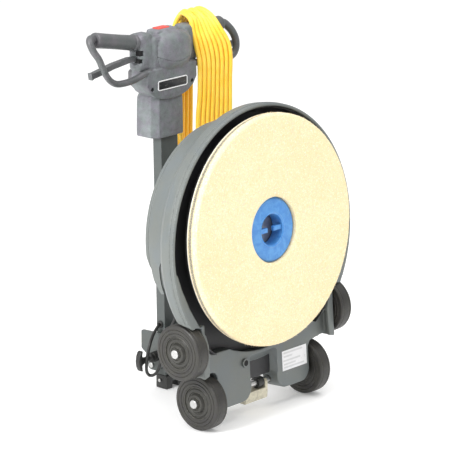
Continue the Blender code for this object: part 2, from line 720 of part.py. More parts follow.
def head_housing():
    head = box("head_housing", (-0.0600, 0.2450, 0.7330), (0.0600, HEAD_BACK - 0.0125, 0.8150), 0.008, 2)
    join(head, soften(plate("nose", shield_outline(), HEAD_FRONT, HEAD_BACK - 0.012), 0.004, 1))
    for side in (-1, 1):
        low, high = sorted((side * 0.0500, side * (GRIP_IN - GAP)))
        join(head, box("pod", (low, 0.2500, 0.7400), (high, HEAD_BACK - 0.015, 0.8235), 0.009, 2))
    join(head, box("crown", (-0.0350, 0.2560, 0.8050), (0.0350, HEAD_BACK - 0.014, 0.8240), 0.005, 2))
    cut(head, box("back_pocket", (-0.0520, 0.2500, 0.7000), (0.0520, 0.35, 0.8080)))
    for side in (-1, 1):
        low, high = sorted((side * 0.0515, side * 0.0860))
        cut(head, box("lever_room", (low, 0.2600, 0.7555), (high, 0.2800, 0.7825)))
        low, high = sorted((side * 0.0800, side * 0.12))
        cut(head, box("lever_slot", (low, 0.2615, 0.7570), (high, 0.2785, 0.7810)))
        place = (side * LEVER_AXIS.x, 0, LEVER_AXIS.z)
        cut(head, disc("lever_pin_bore", 0.0029, 0.2540, 0.2870, place, "Y", 16))
    cut(head, post_box("post_channel", 0.0006, 0.3, POST_TOP + 0.002))
    cut(head, box("button_well", (-0.0185, 0.2665, 0.80), (0.0185, 0.2880, 0.84)))
    return finish(head, "head_grey", handle)


def head_back_cover():
    outline = rounded([
        (0.0590, 0.8120, 0.010), (0.0590, 0.7400, 0.004), (0.0770, 0.7360, 0.006), (0.0770, 0.7080, 0.012),
        (0.0480, 0.6820, 0.020), (0.0, 0.6720, 0.060), (-0.0480, 0.6820, 0.020), (-0.0770, 0.7080, 0.012),
        (-0.0770, 0.7360, 0.006), (-0.0590, 0.7400, 0.004), (-0.0590, 0.8120, 0.010),
    ], 3)
    cover = plate("head_back_cover", outline, HEAD_BACK - 0.012 + GAP, HEAD_BACK)
    return finish(soften(cover, 0.004, 1), "head_grey", handle)


def head_front_cover():
    """The bulged cover over the switch, above the nose."""
    profile = rounded([
        (0.2447, 0.8080, 0.0), (0.2360, 0.7990, 0.010), (0.2360, 0.7660, 0.008), (0.2447, 0.7590, 0.0),
    ], 3)
    cover = plate("head_front_cover", profile, -0.0500, 0.0500, "X")
    return finish(soften(cover, 0.003, 1), "head_grey", handle)


def head_collar():
    corners = [
        (0.0520, 0.2610), (0.0380, 0.2470), (-0.0380, 0.2470), (-0.0520, 0.2610),
        (-0.0520, 0.3030), (-0.0380, 0.3170), (0.0380, 0.3170), (0.0520, 0.3030),
    ]
    collar = plate("head_collar", corners, 0.5835, 0.6685, "Z")
    cut(collar, post_box("collar_channel", GAP, 0.3, 0.9))
    return finish(collar, "head_grey", handle)


def grip_axis(x, side):
    """Height of a grip's axis at a distance x from the centre plane."""
    return 0.8060 + GRIP_SLOPE[side] * (x - 0.1006)


def grips():
    for name, side in (("left", -1), ("right", 1)):
        lean = math.atan(GRIP_SLOPE[side])
        length = (GRIP_OUT[side] - GRIP_IN) / math.cos(lean)
        profile = [
            (0, length), (GRIP_R - 0.003, length), (GRIP_R - 0.0005, length - 0.003),
            (GRIP_R, length - 0.02), (GRIP_R, 0.011), (GRIP_R + 0.0022, 0.009),
            (GRIP_R + 0.0022, 0.0042), (0, 0.0042),
        ]
        grip = turned(f"{name}_grip", profile, (side * GRIP_IN, GRIP_Y, grip_axis(GRIP_IN, side)), "Z", 20)
        grip.rotation_euler = (0, side * (math.pi / 2 - lean), 0)
        finish(grip, "head_grey", handle)


def loop_path(side):
    """Hand guard: out of the grip's end, forward and down, then back in to the nose."""
    start = GRIP_OUT[side] + 0.0025
    if side < 0:
        corners = [
            (start, GRIP_Y, grip_axis(start, side)), (0.2300, 0.2690, 0.8328), (0.2370, 0.2640, 0.8290),
            (0.2350, 0.2560, 0.8150), (0.2235, 0.2500, 0.8000), (0.2155, 0.2470, 0.7800),
            (0.2060, 0.2460, 0.7570), (0.1890, 0.2460, 0.7390),
        ]
    else:
        corners = [
            (start, GRIP_Y, grip_axis(start, side)), (0.1985, 0.2690, 0.8040), (0.2065, 0.2640, 0.7960),
            (0.2130, 0.2560, 0.7830), (0.2165, 0.2500, 0.7660), (0.2155, 0.2480, 0.7480),
            (0.2060, 0.2465, 0.7350), (0.1890, 0.2460, 0.7290),
        ]
    corners += [
        (0.1650, 0.2460, 0.7285 if side < 0 else 0.7270), (0.1385, 0.2465, 0.7265),
        (0.1090, 0.2475, 0.7280), (0.0930, 0.2485, 0.7290), (0.0815, 0.2490, 0.7290),
    ]
    return smooth_path([Vector((side * x, y, z)) for x, y, z in corners], 2)


def guards():
    for name, side in (("left", -1), ("right", 1)):
        loop = tube(f"{name}_guard_loop", loop_path(side), LOOP_R, sides=2)
        finish(loop, "head_grey", handle)


def levers():
    """Switch levers, each on a pin inside its pod, reaching out under the grip."""
    for name, side, frame in (("left", -1, left_lever), ("right", 1, right_lever)):
        reach = [
            (0.0620, 0.7710), (0.1130, 0.7760), (0.1630, 0.7710), (0.2040, 0.7635), (0.2260, 0.7595),
            (0.2330, 0.7600), (0.2300, 0.7440), (0.2230, 0.7470), (0.2030, 0.7500), (0.1620, 0.7580),
            (0.1120, 0.7640), (0.0620, 0.7640),
        ]
        lever = plate(f"{name}_switch_lever", [(side * x, z) for x, z in reach], 0.2640, 0.2760)
        soften(lever, 0.0020, 1)
        place = (side * LEVER_AXIS.x, 0, LEVER_AXIS.z)
        cut(lever, disc("lever_bore", 0.0030, 0.25, 0.29, place, "Y", 16))
        finish(lever, "head_grey", frame)
        pin = disc(f"{name}_lever_pin", 0.0024, 0.2545, 0.2865, place, "Y", 16)
        finish(pin, "zinc_steel", handle)


def head_fittings():
    button = box("safety_button", (-0.0180, 0.2670, 0.8085), (0.0180, 0.2875, BUTTON_TOP), 0.0015, 2)
    finish(button, "button_red", handle)
    switch = box("switch_block", (-0.0400, 0.2560, 0.7500), (0.0400, 0.2900, 0.8060), 0.001, 1)
    finish(switch, "black_plastic", handle)
    outline = rounded([
        (0.0475, 0.7155, 0.004), (0.0475, 0.6925, 0.004), (-0.0475, 0.6925, 0.004), (-0.0475, 0.7155, 0.004),
    ], 3)
    name_plate = plate("name_plate", outline, HEAD_FRONT - GAP - 0.0010, HEAD_FRONT - GAP)
    finish(name_plate, "label_white", handle)
    relief = [
        (0.0, 0.034), (0.0055, 0.034), (0.0075, 0.004), (0.0110, 0.003), (0.0110, 0.0), (0.0, 0.0),
    ]
    place = (0.040, HEAD_BACK + GAP, 0.7000)
    finish(turned("cord_strain_relief", relief, place, "Y", 20), "black_plastic", handle)


# Power cord, coiled and hung over the right grip

def coil_path(steps=10):
    """Closed loop in the YZ plane: a wide arch over the grip, narrowing to a tight bottom."""
    top, low = Vector((0, GRIP_Y, 0.8080)), Vector((0, 0.2720, 0.4000))
    points = []
    for k in range(steps + 1):
        angle = math.pi * k / steps
        points.append(top + COIL_R_TOP * Vector((0, math.cos(angle), math.sin(angle))))
    for k in range(steps + 1):
        angle = math.pi + math.pi * k / steps
        points.append(low + COIL_R_LOW * Vector((0, math.cos(angle), math.sin(angle))))
    return points


def cord():
    half_width, half_depth, middle = 0.050, 0.0095, 0.1200
    coil = tube("cord_coil", coil_path(), half_depth, closed=True)
    for vert in coil.data.vertices:
        vert.co.x = vert.co.x * half_width / half_depth + middle
    finish(coil, "cord_yellow", handle)
    plug = [
        (0, 0.0), (0.0150, 0.0), (0.0165, -0.004), (0.0165, -0.020), (0.0095, -0.040),
        (0.0060, -0.052), (0, -0.052),
    ]
    finish(turned("cord_plug", plug, (0.1110, 0.3330, 0.5200), "Z", 20), "cord_yellow", handle)


deck_housing()
inner_shroud()
motor_hood()
rating_label()
drive()
motor()
wheels()
bracket()
clamp_knob()
post()
motor_cable()
head_housing()
head_back_cover()
head_front_cover()
head_collar()
grips()
guards()
levers()
head_fittings()
cord()
bpy.context.view_layer.update()
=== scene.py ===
"""Looks for the high speed burnisher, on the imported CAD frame: moulded deck, fibre pad, head, yellow cord."""

import json
import math
import random

import bmesh
import bpy
import numpy as np
from mathutils import Matrix, Vector, kdtree, noise


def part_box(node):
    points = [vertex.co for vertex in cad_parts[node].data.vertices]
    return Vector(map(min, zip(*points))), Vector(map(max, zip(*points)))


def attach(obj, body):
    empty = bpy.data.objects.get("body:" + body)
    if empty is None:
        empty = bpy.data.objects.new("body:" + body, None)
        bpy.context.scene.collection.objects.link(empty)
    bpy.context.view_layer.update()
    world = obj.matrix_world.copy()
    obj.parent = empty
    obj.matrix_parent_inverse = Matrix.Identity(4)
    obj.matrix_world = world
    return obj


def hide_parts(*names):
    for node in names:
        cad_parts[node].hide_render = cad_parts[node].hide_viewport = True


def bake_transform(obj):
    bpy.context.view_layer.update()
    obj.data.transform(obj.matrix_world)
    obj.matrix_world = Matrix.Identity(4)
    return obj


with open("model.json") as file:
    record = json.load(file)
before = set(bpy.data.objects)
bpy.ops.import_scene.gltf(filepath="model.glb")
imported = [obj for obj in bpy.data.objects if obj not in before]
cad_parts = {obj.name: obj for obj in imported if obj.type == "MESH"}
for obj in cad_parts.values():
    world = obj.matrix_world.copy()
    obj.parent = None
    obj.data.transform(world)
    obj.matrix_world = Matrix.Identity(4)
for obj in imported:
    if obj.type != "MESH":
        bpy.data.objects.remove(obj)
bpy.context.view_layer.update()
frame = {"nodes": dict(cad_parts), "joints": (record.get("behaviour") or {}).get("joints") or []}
NODES = frame["nodes"]
JOINT = {joint["name"]: joint for joint in frame["joints"]}

# Working frames. MACHINE is upright, with the handle's pivot at PIVOT_Y.
# DECK leans with the pad: x, depth behind the pad's face, up the pad from its centre.
PIVOT_Y = 0.256
MACHINE = Matrix.Translation((0, JOINT["handle_fold"]["pos_m"][1] - PIVOT_Y, 0))
PAD_CENTRE = Vector(JOINT["pad_spin"]["pos_m"])
PAD_AXIS = Vector(JOINT["pad_spin"]["axis"])
DECK = Matrix.Translation(PAD_CENTRE) @ Matrix.Rotation(-math.atan2(PAD_AXIS.z, -PAD_AXIS.y), 4, "X")
INTO_DEPTH = Matrix.Rotation(-math.pi / 2, 4, "X")  # a lathe's Z axis onto depth
HERE = Matrix()
random.seed(4)


# ---- shapes
def fillet(points, radius=0.002, steps=5, closed=True):
    """Corners (a, b) or (a, b, radius) rounded into arcs."""
    flat = [Vector(p[:2]) for p in points]
    out = []
    for i, p in enumerate(flat):
        r = points[i][2] if len(points[i]) > 2 else radius
        if r <= 0 or (not closed and i in (0, len(flat) - 1)):
            out.append(tuple(p))
            continue
        a, b = flat[i - 1] - p, flat[(i + 1) % len(flat)] - p
        room = min(a.length, b.length) * 0.49
        a.normalize()
        b.normalize()
        half = a.angle(b) / 2
        if half > 1.56:
            out.append(tuple(p))
            continue
        t = min(r / math.tan(half), room)
        centre = p + (a + b).normalized() * (t / math.cos(half))
        s, e = p + a * t - centre, p + b * t - centre
        turn = (math.atan2(e.y, e.x) - math.atan2(s.y, s.x) + math.pi) % (2 * math.pi) - math.pi
        for k in range(steps + 1):
            out.append(tuple(centre + Matrix.Rotation(turn * k / steps, 2) @ s))
    return out


def curve(points, steps=8):
    """Centripetal Catmull-Rom line through the points."""
    p = [Vector(q) for q in points]
    p = [p[0] * 2 - p[1]] + p + [p[-1] * 2 - p[-2]]
    out = []
    for a, b, c, d in zip(p, p[1:], p[2:], p[3:]):
        t1 = max((b - a).length, 1e-9) ** 0.5
        t2 = t1 + max((c - b).length, 1e-9) ** 0.5
        t3 = t2 + max((d - c).length, 1e-9) ** 0.5
        for k in range(steps):
            t = t1 + (t2 - t1) * k / steps
            ab, bc, cd = a.lerp(b, t / t1), b.lerp(c, (t - t1) / (t2 - t1)), c.lerp(d, (t - t2) / (t3 - t2))
            out.append(ab.lerp(bc, t / t2).lerp(bc.lerp(cd, (t - t1) / (t3 - t1)), (t - t1) / (t2 - t1)))
    return out + [p[-2]]


def skin(rings, wrap=True, caps=True):
    """Rings of equal length joined into a surface; wrap joins the last ring to the first."""
    bm = bmesh.new()
    rows = [[bm.verts.new(v) for v in ring] for ring in rings]
    for one, two in zip(rows, rows[1:] + (rows[:1] if wrap else [])):
        for k in range(len(one)):
            bm.faces.new((one[k - 1], one[k], two[k], two[k - 1]))
    if caps and not wrap:
        bm.faces.new(rows[0])
        bm.faces.new(rows[-1])
    bmesh.ops.remove_doubles(bm, verts=bm.verts, dist=1e-6)
    bmesh.ops.recalc_face_normals(bm, faces=bm.faces)
    return bm


def lathe(profile, steps=192):
    """Closed profile of (radius, height) turned about Z. Points on the axis close up."""
    rings = []
    for k in range(steps):
        a = 2 * math.pi * k / steps
        rings.append([(r * math.cos(a), r * math.sin(a), h) for r, h in profile])
    return skin(rings)


def sweep(path, radius, sides=12, flat=1.0, cap=True):
    """A tube with rounded ends. radius is a number or one per point; flat narrows it sideways."""
    path = [Vector(p) for p in path]
    radii = list(radius) if hasattr(radius, "__len__") else [radius] * len(path)
    ahead, behind = path[1:] + path[-1:], path[:1] + path[:-1]
    tangents = [(b - a).normalized() for a, b in zip(behind, ahead)]
    if cap:
        for end, sign in ((0, -1), (-1, 1)):
            p, t, r = path[end], tangents[end], radii[end]
            extra = [(p + t * sign * r * math.sin(a), r * math.cos(a)) for a in (0.45, 0.9, 1.25, 1.5)]
            if end:
                path += [q for q, _ in extra]
                radii += [s for _, s in extra]
                tangents += [t] * 4
            else:
                path = [q for q, _ in extra[::-1]] + path
                radii = [s for _, s in extra[::-1]] + radii
                tangents = [t] * 4 + tangents
    side = tangents[0].orthogonal().normalized()
    if abs(tangents[0].z) < 0.9:
        side = (Vector((0, 0, 1)) - tangents[0] * tangents[0].z).normalized()
    rings = []
    for p, t, r in zip(path, tangents, radii):
        side = (side - t * side.dot(t)).normalized()
        other = t.cross(side)
        turns = [2 * math.pi * k / sides for k in range(sides)]
        rings.append([p + side * (r * math.cos(w)) + other * (r * flat * math.sin(w)) for w in turns])
    return skin(rings, wrap=False)


def slab(outline, low, high, across="Y", bevel=0.0, steps=3):
    """An outline extruded along one axis. Across Y it is (x, z), across X (y, z), across Z (x, y)."""
    def place(a, b, c):
        return {"X": (c, a, b), "Y": (a, c, b), "Z": (a, b, c)}[across]
    bm = bmesh.new()
    one = [bm.verts.new(place(a, b, low)) for a, b in outline]
    two = [bm.verts.new(place(a, b, high)) for a, b in outline]
    bm.faces.new(one)
    bm.faces.new(two)
    for k in range(len(one)):
        bm.faces.new((one[k - 1], one[k], two[k], two[k - 1]))
    bmesh.ops.recalc_face_normals(bm, faces=bm.faces)
    if bevel:
        rim = [e for e in bm.edges if e.calc_face_angle(0) > 0.6]
        bmesh.ops.bevel(bm, geom=rim, offset=bevel, segments=steps, profile=0.5, affect="EDGES",
                        clamp_overlap=True)
    return bm


def box(x0, x1, y0, y1):
    """The four corners of an outline."""
    return [(x0, y0), (x1, y0), (x1, y1), (x0, y1)]


def mm(*rows):
    """A table in millimetres made into metres."""
    return [tuple(v / 1000 for v in row) for row in rows]


def block(low, high, bevel):
    """A rounded box."""
    (a, c, e), (b, d, f) = low, high
    return slab(box(a, b, c, d), e, f, "Z", bevel)


def ball(centre, size, power):
    """A super-ellipsoid: power 2 is round, higher is boxier."""
    steps = 28

    def s(v):
        return math.copysign(abs(v) ** (2 / power), v)
    rings = []
    for i in range(steps + 1):
        u = -math.pi / 2 + math.pi * i / steps
        ring = []
        for k in range(steps * 2):
            w = math.pi * k / steps
            ring.append((centre[0] + size[0] * s(math.cos(u)) * s(math.cos(w)),
                         centre[1] + size[1] * s(math.cos(u)) * s(math.sin(w)),
                         centre[2] + size[2] * s(math.sin(u))))
        rings.append(ring)
    return skin(rings, wrap=False, caps=False)


def merge(*parts):
    """Several bmeshes in one."""
    whole = bmesh.new()
    for part in parts:
        data = bpy.data.meshes.new("part")
        part.to_mesh(data)
        whole.from_mesh(data)
        bpy.data.meshes.remove(data)
    return whole


def turned(bm, x, y, z):
    """A lathed shape set at a point with its axis along depth."""
    bm.transform(Matrix.Translation((x, y, z)) @ INTO_DEPTH)
    return bm


# ---- objects
def make(name, bm, place=HERE, local=None):
    """An object at the origin, its vertices taken from local through place into the frame."""
    data = bpy.data.meshes.new(name)
    if local is not None:
        bm.transform(local)
    bm.to_mesh(data)
    data.transform(place)
    obj = bpy.data.objects.new(name, data)
    bpy.context.scene.collection.objects.link(obj)
    return obj


def add_modifier(obj, kind, **settings):
    """A modifier with its settings."""
    modifier = obj.modifiers.new(kind.lower(), kind)
    for key, value in settings.items():
        setattr(modifier, key, value)


def bake(obj):
    """Applies the modifiers."""
    bpy.context.view_layer.update()
    done = bpy.data.meshes.new_from_object(obj.evaluated_get(bpy.context.evaluated_depsgraph_get()))
    obj.modifiers.clear()
    obj.data = done


def cut(obj, *tools, place=HERE, operation="DIFFERENCE"):
    """Booleans with throwaway tools."""
    for bm in tools:
        tool = make("tool", bm, place)
        add_modifier(obj, "BOOLEAN", object=tool, operation=operation, solver="MANIFOLD")
        bake(obj)
        bpy.data.objects.remove(tool)


def fuse(obj, size, rounds):
    """Overlapping closed shells in one soft-edged skin."""
    add_modifier(obj, "REMESH", mode="VOXEL", voxel_size=size)
    add_modifier(obj, "SMOOTH", factor=0.5, iterations=rounds)
    bake(obj)


def shade(obj, angle=40):
    """Smooth faces, with edges sharper than the angle kept."""
    data = obj.data
    data.polygons.foreach_set("use_smooth", [True] * len(data.polygons))
    if angle < 180:
        bm = bmesh.new()
        bm.from_mesh(data)
        sharp = [e.calc_face_angle(3) > math.radians(angle) for e in bm.edges]
        bm.free()
        attribute = data.attributes.get("sharp_edge") or data.attributes.new("sharp_edge", "BOOLEAN", "EDGE")
        attribute.data.foreach_set("value", sharp)


def paint(obj, **values):
    """Numbers per vertex, for a material to read."""
    for name, numbers in values.items():
        obj.data.attributes.new(name, "FLOAT", "POINT").data.foreach_set("value", numbers)


def ride(obj, body, material, slot, *replaced, angle=40):
    """Shading and material of a finished piece, parented to its body's empty, the CAD nodes it replaces hidden.
    """
    shade(obj, angle)
    obj.data.materials.clear()
    obj.data.materials.append(material)
    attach(obj, body)
    if replaced:
        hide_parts(*replaced)


def piece(name, bm, place, *entries, angle=40):
    """A new object, shaded, given its material and attached, in one step."""
    ride(make(name, bm, place), *entries, angle=angle)


def keep(material, bevel, *nodes):
    """CAD nodes whose shape is right: facets are merged, edges rounded and they get a material."""
    for obj in (NODES[node] for node in nodes):
        obj.data.materials.clear()
        obj.data.materials.append(material)
        for polygon in obj.data.polygons:
            polygon.use_smooth = True
        add_modifier(obj, "WELD", merge_threshold=0.00001)
        add_modifier(obj, "DECIMATE", decimate_type="DISSOLVE", angle_limit=math.radians(0.6))
        add_modifier(obj, "BEVEL", width=bevel, segments=3, limit_method="ANGLE",
                     angle_limit=math.radians(35), use_clamp_overlap=True, loop_slide=False)
        add_modifier(obj, "WEIGHTED_NORMAL", keep_sharp=True, weight=80)


def cad_copy(node, place):
    """The CAD node's mesh in a working frame, welded."""
    data = NODES[node].data.copy()
    data.transform(place.inverted())
    bm = bmesh.new()
    bm.from_mesh(data)
    bmesh.ops.remove_doubles(bm, verts=bm.verts, dist=1e-5)
    bpy.data.meshes.remove(data)
    return bm


# ---- materials
def rgb(r, g, b):
    """Screen colour 11..255 to linear."""
    return tuple(((v / 255 + 0.055) / 1.055) ** 2.4 for v in (r, g, b)) + (1.0,)


def tone(base, gain, lift=0.0):
    """A lighter or darker version of a linear colour."""
    return tuple(min(1, c * gain + lift) for c in base[:3]) + (1,)


class Look:
    """A node material read from the object's own coordinates, so that it stays put when its body moves."""

    def __init__(self, name):
        self.material = bpy.data.materials.new(name)
        self.material.use_nodes = True
        self.tree = self.material.node_tree
        self.bsdf = self.tree.nodes["Principled BSDF"]
        self.where = self.node("ShaderNodeTexCoord").outputs["Object"]

    def node(self, kind, inputs=None, **settings):
        made = self.tree.nodes.new(kind)
        for key, value in settings.items():
            setattr(made, key, value)
        for key, value in (inputs or {}).items():
            self.put(made.inputs[key], value)
        return made

    def put(self, socket, value):
        if isinstance(value, bpy.types.NodeSocket):
            self.tree.links.new(value, socket)
        else:
            socket.default_value = value

    def noise(self, scale, detail=3.0, rough=0.55, distortion=0.0, stretch=None):
        where = self.where
        if stretch:
            where = self.node("ShaderNodeMapping", {"Vector": where, "Scale": stretch}).outputs["Vector"]
        inputs = {"Vector": where, "Scale": scale, "Detail": detail, "Roughness": rough,
                  "Distortion": distortion}
        return self.node("ShaderNodeTexNoise", inputs).outputs["Fac"]

    def cells(self, scale):
        return self.node("ShaderNodeTexVoronoi", {"Vector": self.where, "Scale": scale}).outputs["Distance"]

    def calc(self, operation, *values):
        made = self.node("ShaderNodeMath", operation=operation)
        for socket, value in zip(made.inputs, values):
            self.put(socket, value)
        return made.outputs[0]

    def fit(self, value, low, high, out_low=0.0, out_high=1.0):
        """The value eased from one range to another."""
        inputs = {"Value": value, "From Min": low, "From Max": high, "To Min": out_low, "To Max": out_high}
        return self.node("ShaderNodeMapRange", inputs, interpolation_type="SMOOTHSTEP").outputs[0]

    def swing(self, value, amount):
        """A noise around 0.5 made into a change around 0."""
        return self.calc("MULTIPLY", self.calc("SUBTRACT", value, 0.5), amount)

    def over(self, colour, mask, amount, other):
        """The other colour laid over by mask times amount."""
        return self.mix(self.calc("MULTIPLY", mask, amount), colour, other)

    def mix(self, factor, a, b):
        made = self.node("ShaderNodeMix", data_type="RGBA")
        for index, value in ((0, factor), (6, a), (7, b)):
            self.put(made.inputs[index], value)
        return made.outputs[2]

    def scale(self, colour, value):
        made = self.node("ShaderNodeVectorMath", operation="SCALE")
        self.put(made.inputs[0], colour if isinstance(colour, bpy.types.NodeSocket) else colour[:3])
        self.put(made.inputs["Scale"], value)
        return made.outputs[0]

    def edge(self, radius=0.002):
        """1 on convex and concave edges, 0 on open faces."""
        soft = self.node("ShaderNodeBevel", {"Radius": radius}, samples=4).outputs[0]
        hard = self.node("ShaderNodeNewGeometry").outputs["Normal"]
        made = self.node("ShaderNodeVectorMath", operation="DOT_PRODUCT")
        self.put(made.inputs[0], soft)
        self.put(made.inputs[1], hard)
        return self.fit(made.outputs["Value"], 0.985, 0.9)

    def hollow(self, distance=0.02):
        """1 in crevices."""
        made = self.node("ShaderNodeAmbientOcclusion", {"Distance": distance}, samples=4)
        return self.fit(made.outputs["AO"], 0.75, 0.25)

    def attribute(self, name):
        return self.node("ShaderNodeAttribute", attribute_name=name).outputs["Fac"]

    def bump(self, *layers):
        """layers are (height, metres)."""
        normal = None
        for height, depth in layers:
            made = self.node("ShaderNodeBump", {"Height": height, "Distance": depth, "Strength": 1.0})
            if normal is not None:
                self.put(made.inputs["Normal"], normal)
            normal = made.outputs["Normal"]
        self.put(self.bsdf.inputs["Normal"], normal)

    def done(self, **inputs):
        for key, value in inputs.items():
            self.put(self.bsdf.inputs[key.replace("_", " ")], value)
        return self.material


def moulded(name, base, tint=None, cloud=(7, 0.16), mottle=(70, 0.1), grain=(1300, 0.1), rough=0.5,
            depth=0.00012, orange=0.0, wear=0.3, worn=None, corner_shade=0.35, coat=0.0, scratch=0.0):
    """Plastic, rubber or paint: cloudy colour, mottling, fine grain, rubbed edges, painted shade in the
    corners.

    cloud, mottle and grain are (scale, strength); depth and orange are bump heights in metres."""
    look = Look(name)
    big, middle, fine = look.noise(cloud[0], 4), look.noise(mottle[0], 4, 0.6), look.noise(grain[0], 2)
    value = 1.0
    for field, (_, strength) in ((big, cloud), (middle, mottle), (fine, grain)):
        value = look.calc("ADD", value, look.swing(field, strength * 2))
    colour = base
    if tint:
        colour = look.mix(look.fit(look.noise(cloud[0] * 2.3, 5, 0.65, 0.6), 0.38, 0.66), base, tint)
    colour = look.scale(colour, value)
    edge = look.calc("MULTIPLY", look.edge(), look.fit(look.noise(160, 4), 0.35, 0.6))
    colour = look.over(colour, edge, wear, worn or tone(base, 2.2, 0.03))
    # painted shade: the colour is darkened where ambient occlusion finds corners and crevices
    if corner_shade:
        colour = look.over(colour, look.hollow(), corner_shade, tone(base, 0.35))
    roughness = look.calc("SUBTRACT", look.calc("ADD", look.swing(middle, 0.32), rough),
                          look.calc("MULTIPLY", edge, 0.12))
    layers = [(fine, depth)]
    if orange:
        layers.append((look.noise(260, 2), orange))
    if scratch:
        lines = look.fit(look.noise(30, 5, 0.7, stretch=(1, 14, 1)), 0.66, 0.7)
        colour = look.over(colour, lines, scratch, tone(base, 1.8, 0.02))
        layers.append((lines, 0.00003))
    look.bump(*layers)
    return look.done(Base_Color=colour, Roughness=roughness, Coat_Weight=coat, Coat_Roughness=0.25)


def metal(name, base, rough, brushed=(1, 1, 30), depth=0.00004, spot=(0.35, 0.33, 0.3, 1)):
    """Bright or cast metal: brushed streaks, stains, painted shade in the corners."""
    look = Look(name)
    streak = look.noise(90, 5, 0.65, stretch=brushed)
    stain, fine = look.noise(45, 5, 0.7), look.noise(1500, 2)
    colour = look.scale(base, look.calc("ADD", look.fit(streak, 0.3, 0.7, 0.86, 1.08), look.swing(fine, 0.1)))
    marks = look.calc("MULTIPLY", look.fit(stain, 0.55, 0.75), 0.25)
    colour = look.mix(marks, colour, spot)
    # painted shade: nearly black in the corners and crevices
    colour = look.over(colour, look.hollow(0.008), 0.6, (0.05, 0.05, 0.05, 1))
    brightness = look.fit(streak, 0.3, 0.7, rough * 0.8, rough * 1.3)
    look.bump((streak, depth), (fine, depth * 0.6))
    roughness = look.calc("ADD", brightness, look.calc("MULTIPLY", marks, 0.4))
    return look.done(Base_Color=colour, Metallic=0.92, Roughness=roughness)


M_HOUSING = moulded("moulded_grey", rgb(109, 113, 110), tint=rgb(106, 112, 113), cloud=(5, 0.1),
                    mottle=(45, 0.07), grain=(900, 0.12), rough=0.46, depth=0.0001, orange=0.00016, wear=0.5,
                    worn=rgb(168, 172, 170), corner_shade=0.3, scratch=0.25)
M_DARK = moulded("shadow_black", rgb(16, 16, 17), wear=0.1, rough=0.8, corner_shade=0)
M_LINER = moulded("liner_black", rgb(54, 54, 56), rough=0.55, wear=0.2, corner_shade=0.2, cloud=(9, 0.25),
                  mottle=(60, 0.2), depth=0.00015)
M_PAINT = moulded("powder_coat", rgb(76, 82, 81), tint=rgb(82, 86, 84), cloud=(6, 0.08), mottle=(90, 0.06),
                  grain=(1100, 0.16), rough=0.36, depth=0.00005, orange=0.00022, wear=0.5,
                  worn=rgb(140, 145, 143), corner_shade=0.25, scratch=0.3)
M_HEAD = moulded("head_mottled", rgb(112, 119, 119), tint=rgb(116, 114, 122), cloud=(20, 0.42),
                 mottle=(80, 0.34), grain=(500, 0.26), rough=0.52, depth=0.0003, orange=0.0004, wear=0.35,
                 worn=rgb(160, 164, 165), corner_shade=0.5)
M_GRIP = moulded("grip_grey", rgb(84, 88, 88), tint=rgb(96, 94, 98), cloud=(20, 0.2), mottle=(90, 0.18),
                 grain=(900, 0.18), rough=0.4, depth=0.00026, orange=0.0003, wear=0.3,
                 worn=rgb(130, 134, 134), corner_shade=0.4)
M_TYRE = moulded("tyre_rubber", rgb(50, 49, 44), tint=rgb(46, 44, 44), cloud=(26, 0.14), mottle=(140, 0.12),
                 grain=(1000, 0.2), rough=0.46, depth=0.00016, wear=0.3, worn=rgb(100, 99, 88), corner_shade=0.7)
M_HUB = moulded("hub_black", rgb(48, 47, 43), cloud=(30, 0.16), mottle=(150, 0.14), rough=0.42, wear=0.7,
                worn=rgb(118, 118, 106), corner_shade=0.7)
M_BLACK = moulded("black_plastic", rgb(40, 40, 39), cloud=(30, 0.2), mottle=(120, 0.15), rough=0.4,
                  depth=0.0001, wear=0.4, worn=rgb(95, 95, 92), corner_shade=0.3)
M_CABLE = moulded("cable_black", rgb(38, 38, 37), cloud=(40, 0.2), mottle=(150, 0.15), rough=0.45, wear=0.0,
                  corner_shade=0.2, depth=0.00006)
M_RED = moulded("button_red", rgb(222, 56, 44), tint=rgb(236, 80, 66), cloud=(60, 0.1), mottle=(200, 0.08),
                rough=0.35, depth=0.00005, wear=0.3, worn=rgb(245, 130, 115), corner_shade=0.5)
M_BLUE = moulded("retainer_blue", rgb(64, 132, 204), tint=rgb(84, 150, 212), cloud=(26, 0.1),
                 mottle=(120, 0.07), grain=(1200, 0.06), rough=0.34, depth=0.00004, orange=0.0001, wear=0.5,
                 worn=rgb(140, 190, 232), corner_shade=0.35, coat=0.1)
M_CREAM = moulded("skid_cream", rgb(214, 208, 186), tint=rgb(190, 184, 164), cloud=(40, 0.12),
                  mottle=(160, 0.12), rough=0.5, wear=0.2, worn=rgb(240, 238, 226), corner_shade=0.5, scratch=0.6)
M_STEEL = metal("zinc_steel", (0.56, 0.56, 0.55, 1), rough=0.32)
M_ALLOY = metal("cast_alloy", (0.46, 0.46, 0.47, 1), rough=0.5, brushed=(1, 1, 1), depth=0.00012)
M_IRON = metal("lamination_iron", (0.3, 0.29, 0.28, 1), rough=0.45, brushed=(1, 40, 1), depth=0.0001)
M_COPPER = metal("copper_winding", (0.76, 0.36, 0.18, 1), rough=0.38, brushed=(1, 12, 12), depth=0.0002,
                 spot=(0.25, 0.12, 0.06, 1))


